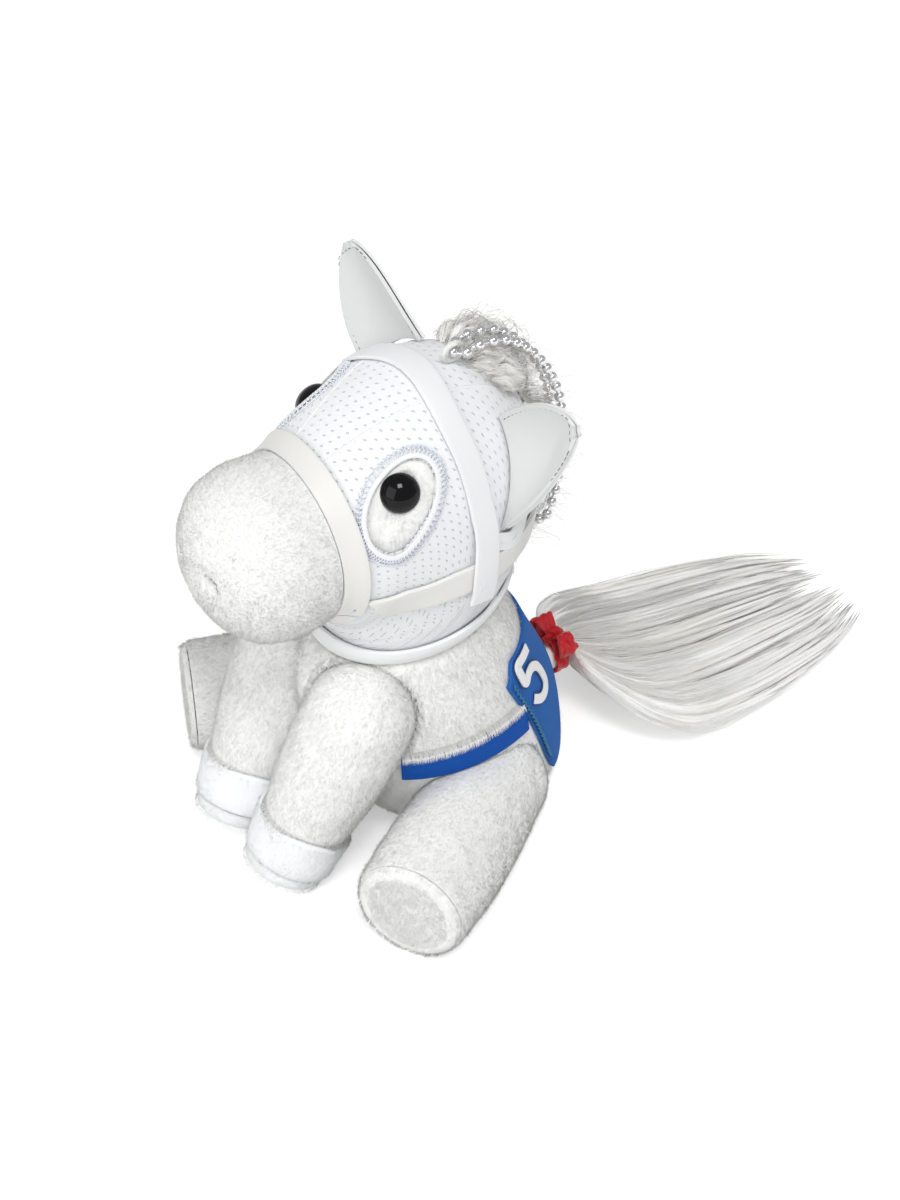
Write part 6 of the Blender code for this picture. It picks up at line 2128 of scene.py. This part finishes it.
@dataclass
class Tail:
    """The tail's root, its long hair on the ground and its satin bow."""

    length: float = 88.0 * MM
    width: float = 58.0 * MM
    depth: float = 9.0 * MM
    root_radius: float = 3.2 * MM
    root_height: float = 19.5 * MM
    root_y: float = 28.3 * MM
    straight: float = 1.2 * MM
    count: int = 1000
    locks: int = 260
    inner_count: int = 340
    hair_radius: float = 0.05 * MM
    lock_radius: float = 1.15 * MM
    stations: tuple = (
        (0.00, 1.00, 0.10, 0.28), (0.04, 0.80, 0.28, 0.48), (0.11, 0.56, 0.44, 0.60),
        (0.22, 0.38, 0.53, 0.60), (0.38, 0.27, 0.52, 0.52), (0.60, 0.20, 0.47, 0.42),
        (0.82, 0.15, 0.38, 0.28), (1.00, 0.11, 0.22, 0.18))

    def flow(self, share: Array, side: Array, lift: Array) -> Array:
        """Return points inside the hair's mass.

        Args:
            share: The place along the tail, 0 at its root.
            side: The place across it, from -1 to 1.
            lift: The place through its depth, from -1 to 1.

        Returns:
            The points.
        """
        rows = curve(self.stations, share * (len(self.stations) - 1))
        start = self.root_y + self.straight + self.root_radius + GAP
        half_deep = rows[:, 3] * self.depth
        z = np.maximum(rows[:, 1] * self.root_height, half_deep + GAP)
        shift = np.sin(math.pi / 2.0 * np.minimum(1.0, rows[:, 0] * 2.0)) * self.width * 0.03
        return row3(shift + rows[:, 2] * self.width * side, start + rows[:, 0] * self.length,
                    z + half_deep * lift)

    def hair(self) -> None:
        """Grow the long hair in locks that fan out over the ground."""
        rng = np.random.default_rng(51)
        n, steps = self.count, 9
        lock = rng.integers(0, self.locks, n)
        lock_side = rng.uniform(-0.97, 0.97, self.locks)
        lock_end = rng.uniform(0.45, 1.0, self.locks)
        own_side = lock_side[lock] + rng.normal(size=n) * 0.14
        own_lift = np.where(rng.random(n) < 0.85, 1.0, -1.0) * rng.uniform(0.80, 1.08, n)
        begin = rng.uniform(0.0, 0.10, n)
        finish = np.clip(lock_end[lock] + rng.normal(size=n) * 0.06, 0.3, 1.0)
        lines, facing = np.empty((n, steps, 3)), np.empty((n, steps, 3))
        for k in range(steps):
            s = k / (steps - 1)
            share = lerp(begin, finish, s)
            gather = ease(np.full(n, s)) * 0.45
            side = np.clip(lerp(own_side, lock_side[lock], gather), -1.0, 1.0)
            round_ = np.sqrt(np.maximum(0.05, 1.0 - side * side))
            lines[:, k] = self.flow(share, side, own_lift * round_)
            facing[:, k] = unit(row3(0.55 * side, 0.0, round_ * np.sign(own_lift) + 0.25))
        sway = drift(lock_side[lock][:, None] * np.array([[40.0, 9.0, 3.0]]) * MM, 20.0 * MM, 53)
        bend = np.sin(np.linspace(0.0, math.pi * 1.4, steps))[None, :, None]
        lines += sway[:, None, :] * np.array([1.3, 0.0, 0.25]) * MM * bend
        lines = wavy(lines, 18.0 * MM, 0.8, 54)
        lines[:, :, 2] = np.maximum(lines[:, :, 2], 0.15 * MM)
        radii = hair_radii(self.hair_radius, n, steps, 0.3)
        obj = strands("tail_long_hair", lines, radii, seed=55, facing=facing)
        settle(obj, HAIR, Slot.HAIR, "tail_hair", body="tail_hair")

        n, steps = self.inner_count, 16
        side = rng.uniform(-0.93, 0.93, n)
        lift = rng.uniform(-0.75, 0.85, n) * np.sqrt(1.0 - side * side)
        end, phase = rng.uniform(0.62, 0.98, n), rng.uniform(0.0, TAU, n)
        lines = np.stack([self.flow(0.02 + (end - 0.02) * s,
                                    side + 0.05 * np.sin(phase + 3.0 * s) * s, lift)
                          for s in np.linspace(0.0, 1.0, steps)], axis=1)
        radii = lock_radii(self.lock_radius, n, steps)
        lines[:, :, 2] = np.maximum(lines[:, :, 2], radii + 0.1 * MM)
        obj = strands("tail_inner_hair", lines, radii, sides=8, seed=56)
        settle(obj, HAIR_CORE, Slot.HAIR, body="tail_hair")

    def root(self) -> None:
        """Make the stuffed root with the ribbon that is wound around it."""
        radius, back = self.root_radius, self.straight
        turn = np.linspace(0.0, math.pi, 30)
        along = np.where(turn < math.pi / 2.0, -radius * np.cos(turn), back - radius
                         * np.cos(turn))
        line = row3(0.0, self.root_y + along, self.root_height)
        obj = rod("tail_root_hair", line, np.maximum(radius * np.sin(turn), 0.02 * MM), 28)
        settle(obj, HAIR, Slot.HAIR, "tail_root", body="tail_root")

        inner = radius + GAP
        near, far = back - 0.48 * radius, back + 0.6 * radius

        def place(u: Array, v: Array, out: float) -> Array:
            crease = 0.18 * MM * np.sin(TAU * 7.0 * u + 5.0 * v) * np.sin(math.pi * v)
            ring = row3(np.cos(TAU * u), 0.0, np.sin(TAU * u)) * (inner + out + crease)[:, None]
            return ring + row3(0.0, self.root_y + lerp(near, far, v), self.root_height)
        obj = panel("ribbon_band", 90, 12, place, 0.2 * MM, 0.6 * MM, 0.12 * MM, closed=True)
        settle(obj, SATIN, Slot.SATIN, "ribbon_wrap", body="tail_root")

    def bow(self) -> None:
        """Make the bow's two creased loops and its knot."""
        length, height, width, thick = 4.8 * MM, 6.6 * MM, 5.5 * MM, 0.6 * MM
        outer = self.root_radius + GAP + STRAP_THICKNESS
        rise = outer + GAP + thick + height * 0.12
        for side in Side:
            def place(u: Array, v: Array, out: float) -> Array:
                turn = TAU * u
                across = (1.0 - np.cos(turn)) / 2.0
                crease = 0.22 * MM * np.sin(v * 17.0 + 1.5 * side.value) * across
                x = GAP + thick * 1.2 + length * across
                z = height / 2.0 * np.sin(turn) * (0.35 + 0.65 * across)
                y = (2.0 * v - 1.0) * width / 2.0 * (0.5 + 0.5 * across)
                point = row3(side.value * x, self.root_y + self.straight + y,
                             self.root_height + rise + z)
                outward = row3(-side.value * np.cos(turn), 0.0, np.sin(turn))
                rough = drift(point, 3.2 * MM, 57) * 0.5 * MM * across[:, None]
                return point + outward * (out + crease)[:, None] + rough
            obj = panel(f"bow_loop_{side.word}", 64, 22, place, 0.0, thick, 0.15 * MM,
                        closed=True)
            settle(obj, SATIN, Slot.SATIN, f"bow_{side.word}", body="tail_root")
        middle = np.array([0.0, self.root_y + self.straight, self.root_height + rise])

        def knot(flat: Array) -> Array:
            turn = np.arctan2(flat[:, 2], flat[:, 1])
            pleat = 1.0 + 0.10 * np.sin(7.0 * turn + 3.0 * flat[:, 0])
            return middle + flat * pleat[:, None] * np.array([1.5, 2.7, 2.5]) * MM
        settle(ball("bow_knot", 48, 30, knot), SATIN, Slot.SATIN, body="tail_root")

    def build(self) -> None:
        """Make every piece of the tail."""
        self.root()
        self.bow()
        self.hair()


@dataclass
class Legs:
    """The four stuffed legs with their pile, bands, hooves and soles."""

    band_height: float = 10.0 * MM
    band_thickness: float = 1.0 * MM
    hoof_height: float = 3.8 * MM
    sole: float = 1.2 * MM
    fringe_per_mm: float = 14.0
    root_end: float = 0.45
    sunk: float = 1.6 * MM
    sole_tries: int = 9000
    pile: Pile = Pile(per_mm2=6.5, seed=61)

    def limb(self, name: str, form: LimbForm, end: float, body: str, torso: BVHTree,
             pile_end: float) -> None:
        """Make one leg's skin and its pile."""
        rows = 64
        obj = panel(f"{name}_plush", 64, rows, shell(form, -0.99, end, rows), closed=True)
        settle(obj, PLUSH, Slot.PLUSH, name, body=body)

        def keep(level: Array, angle: Array, points: Array) -> Array:
            shown = np.ones(len(points), bool)
            for k, point in enumerate(points):
                if level[k] > self.root_end:
                    continue
                spot, normal, _, _ = torso.find_nearest(Vector(point))
                shown[k] = (Vector(point) - spot).dot(normal) > -self.sunk
            return shown & (points[:, 2] > 0.1 * MM)
        self.pile.cover(f"{name}_pile", form, -0.95, pile_end, PILE, Slot.PLUSH, body, keep=keep)

    def cap(self, name: str, form: LimbForm, low: float, high: float, grow: Sequence[float],
            finish: Finish, slot: Slot, node: str, body: str) -> None:
        """Make a rounded cap on the end of a leg."""
        rows = 26
        plain = shell(form, low, high, rows)

        def place(u: Array, v: Array, out: float) -> Array:
            swell = curve([(g,) for g in grow], v * (len(grow) - 1))[:, 0]
            points = plain(u, v, out)
            middle = form.centre(lerp(low, high, np.clip(v, 0.0, 1.0)))
            made = middle + (points - middle) * swell[:, None]
            made[:, 2] = np.maximum(made[:, 2], 0.02 * MM)
            return made
        obj = panel(name, 64, rows, place, closed=True)
        settle(obj, finish, slot, node, body=body)

    def front(self, side: Side, torso: BVHTree) -> None:
        """Make one front leg with its felt band and hoof."""
        form, body = front_limb(side), f"front_leg_{side.word}"
        length = form.length()
        hoof = 1.0 - self.hoof_height / length
        low = 1.0 - (self.hoof_height + 2.0 * GAP) / length
        high = low - self.band_height / length
        self.limb(body, form, hoof, body, torso, high + 0.01)
        filling(f"front_leg_stuffing_{side.word}", f"front_leg_filling_{side.word}", body)

        def band(u: Array, v: Array, out: float) -> Array:
            wave = 0.012 * np.sin(TAU * 3.0 * u) * v
            level = lerp(low, high, v) + wave
            bulge = 0.45 * MM * np.sqrt(np.abs(np.sin(math.pi * v))) - 0.15 * MM
            return form.at(level, TAU * u, out + bulge)[0]
        obj = panel(f"felt_band_{side.word}", 100, 14, band, GAP, self.band_thickness, 0.3 * MM,
                    closed=True)
        settle(obj, FELT, Slot.FELT, f"front_band_{side.word}", body=body)
        start = 1.0 - (self.hoof_height - GAP) / length
        self.cap(f"hoof_pad_{side.word}", form, start, 1.0, (1.0, 1.03, 1.03, 1.0, 0.9),
                 HOOF, Slot.HOOF, f"front_hoof_{side.word}", body)

        def edge(share: Array, onto: Array, out: Array) -> Array:
            return form.at(high + onto / length, TAU * share, out)[0]
        obj = fringe(f"band_fringe_{side.word}", edge,
                     int(self.fringe_per_mm * TAU * form.radius / MM), self.band_thickness, 76)
        settle(obj, PILE, Slot.PLUSH, body=body)
        short = Pile(per_mm2=8.0, length=0.8 * MM, stand=0.55, lie=0.7, stray=0.4, seed=71)
        short.cover(f"felt_band_pile_{side.word}", form, high, low, EYE_PILE, Slot.FELT, body,
                    out=GAP + self.band_thickness + 0.1 * MM)
        short.cover(f"hoof_pile_{side.word}", form, start, 1.0, PILE, Slot.HOOF, body,
                    out=0.3 * MM)

    def hind(self, side: Side, torso: BVHTree) -> None:
        """Make one hind leg with its sole."""
        form, body = hind_limb(side), f"hind_leg_{side.word}"
        length = form.length()
        self.limb(body, form, 1.0 - (self.sole + GAP) / length, body, torso,
                  1.0 - 0.2 * self.sole / length)
        filling(f"hind_leg_stuffing_{side.word}", f"hind_leg_filling_{side.word}", body)
        face = 1.0 - self.sole / length
        self.cap(f"sole_disc_{side.word}", form, face, 1.0, (0.985, 0.98, 0.97, 0.95, 0.90),
                 PLUSH, Slot.SHORT, f"hind_sole_{side.word}", body)
        short = Pile(per_mm2=11.0, length=0.9 * MM, stand=0.6, lie=0.7, stray=0.4, seed=73)
        rng = np.random.default_rng(74)
        side_way, rise = limb_axes(form.axis())
        n = self.sole_tries
        far, turn = np.sqrt(rng.random(n)), rng.uniform(0.0, TAU, n)
        far, turn = (a[np.abs(far - 0.87) > 0.018] for a in (far, turn))
        radius = form.spread(np.array([1.0]))[0]
        ring = (side_way * np.cos(turn)[:, None] + rise * np.sin(turn)[:, None])
        points = form.centre(np.array([1.0]))[0] + ring * (far * radius)[:, None]
        points -= form.axis() * (0.5 * MM * ease((far - 0.85) / 0.15))[:, None]
        points = points[points[:, 2] > 0.3 * MM]
        normals = np.tile(form.axis(), (len(points), 1))
        comb = np.tile(np.array([0.0, 0.0, -1.0]), (len(points), 1))
        settle(short.grow(f"sole_pile_{side.word}", points, normals, comb), PILE, Slot.SHORT,
               body=body)

    def build(self, torso: BVHTree) -> None:
        """Make every leg."""
        for side in Side:
            self.front(side, torso)
            self.hind(side, torso)


@dataclass
class Studio:
    """The white floor and backdrop, the lamps and the camera."""

    azimuth: float = 56.0
    elevation: float = 40.0
    distance: float = 0.6
    lens: float = 77.4
    target: tuple = (-0.0012, 0.0, 0.050)
    floor_glow: float = 0.42
    surround: float = 0.47
    backdrop: float = 0.53
    lamps: tuple = (("key_lamp", (1.29, -0.48, 2.70), 0.90, 36.5),
                    ("fill_lamp", (0.60, -2.10, 1.14), 2.1, 21.5))

    def floor(self) -> None:
        """Lay a white floor that keeps the soft shadow."""
        bpy.ops.object.select_all(action="DESELECT")
        bpy.ops.mesh.primitive_plane_add(size=6.0, location=(0.0, 0.0, 0.0))
        obj = bpy.context.object
        obj.name = "floor"
        made = bpy.data.materials.new("white_floor")
        made.use_nodes = True
        tree = made.node_tree
        wiring = Wiring(tree)
        shader = tree.nodes["Principled BSDF"]
        shader.inputs["Base Color"].default_value = (0.86, 0.86, 0.86, 1.0)
        shader.inputs["Roughness"].default_value = 1.0
        shader.inputs["Specular IOR Level"].default_value = 0.0
        path = wiring.add("ShaderNodeLightPath")
        seen = wiring.sum("MAXIMUM", path.outputs["Is Camera Ray"], wiring.sum(
            "MAXIMUM", path.outputs["Is Glossy Ray"], path.outputs["Is Transmission Ray"]))
        shader.inputs["Emission Color"].default_value = (1.0, 1.0, 1.0, 1.0)
        tree.links.new(wiring.sum("MULTIPLY", seen, self.floor_glow),
                       shader.inputs["Emission Strength"])
        obj.data.materials.append(made)

    def world(self) -> None:
        """Light the scene evenly and show white behind it."""
        world = bpy.data.worlds.new("white_surround")
        bpy.context.scene.world = world
        world.use_nodes = True
        tree = world.node_tree
        wiring = Wiring(tree)
        ground = tree.nodes["Background"]
        path = wiring.add("ShaderNodeLightPath")
        seen = wiring.sum("MAXIMUM", path.outputs["Is Camera Ray"],
                          path.outputs["Is Transmission Ray"])
        strength = wiring.sum("ADD", self.surround, wiring.sum("MULTIPLY", seen, self.backdrop))
        ground.inputs["Color"].default_value = (1.0, 1.0, 1.0, 1.0)
        tree.links.new(strength, ground.inputs["Strength"])

    def lamp(self, name: str, place: tuple, size: float, power: float) -> None:
        """Hang a square lamp that looks at the horse."""
        data = bpy.data.lights.new(name, "AREA")
        data.shape, data.size, data.energy = "SQUARE", size, power
        obj = bpy.data.objects.new(name, data)
        bpy.context.scene.collection.objects.link(obj)
        obj.location = place
        look = Vector(place) - Vector(self.target)
        obj.rotation_euler = look.to_track_quat("Z", "Y").to_euler()

    def camera(self) -> None:
        """Set the camera where the photograph was taken from."""
        data = bpy.data.cameras.new("camera")
        data.lens, data.sensor_width = self.lens, 36.0
        data.clip_start, data.clip_end = 0.01, 20.0
        obj = bpy.data.objects.new("camera", data)
        bpy.context.scene.collection.objects.link(obj)
        a, e = self.azimuth * DEG, self.elevation * DEG
        back = Vector((math.sin(a) * math.cos(e), -math.cos(a) * math.cos(e), math.sin(e)))
        obj.location = Vector(self.target) + back * self.distance
        obj.rotation_euler = back.to_track_quat("Z", "Y").to_euler()
        bpy.context.scene.camera = obj

    def build(self) -> None:
        """Set up the studio."""
        self.floor()
        self.world()
        for lamp in self.lamps:
            self.lamp(*lamp)
        self.camera()
        bpy.context.scene.view_settings.view_transform = "Standard"


def main() -> None:
    """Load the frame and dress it."""
    logging.basicConfig(level=logging.INFO, format="%(message)s")
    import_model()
    for item in list(bpy.data.objects):
        if item.name in ("Cube", "Light", "Camera"):
            bpy.data.objects.remove(item, do_unlink=True)
    Body().build()
    torso = bpy.data.objects["torso_plush"].data
    tree = BVHTree.FromPolygons([v.co for v in torso.vertices],
                                [tuple(p.vertices) for p in torso.polygons])
    for assembly in (HEAD_PIECES, Hood(), Straps(), Ears(), Hair(), Chain(), CLOTH, Tail()):
        assembly.build()
    Legs().build(tree)
    Studio().build()


if __name__ == "__main__":
    main()
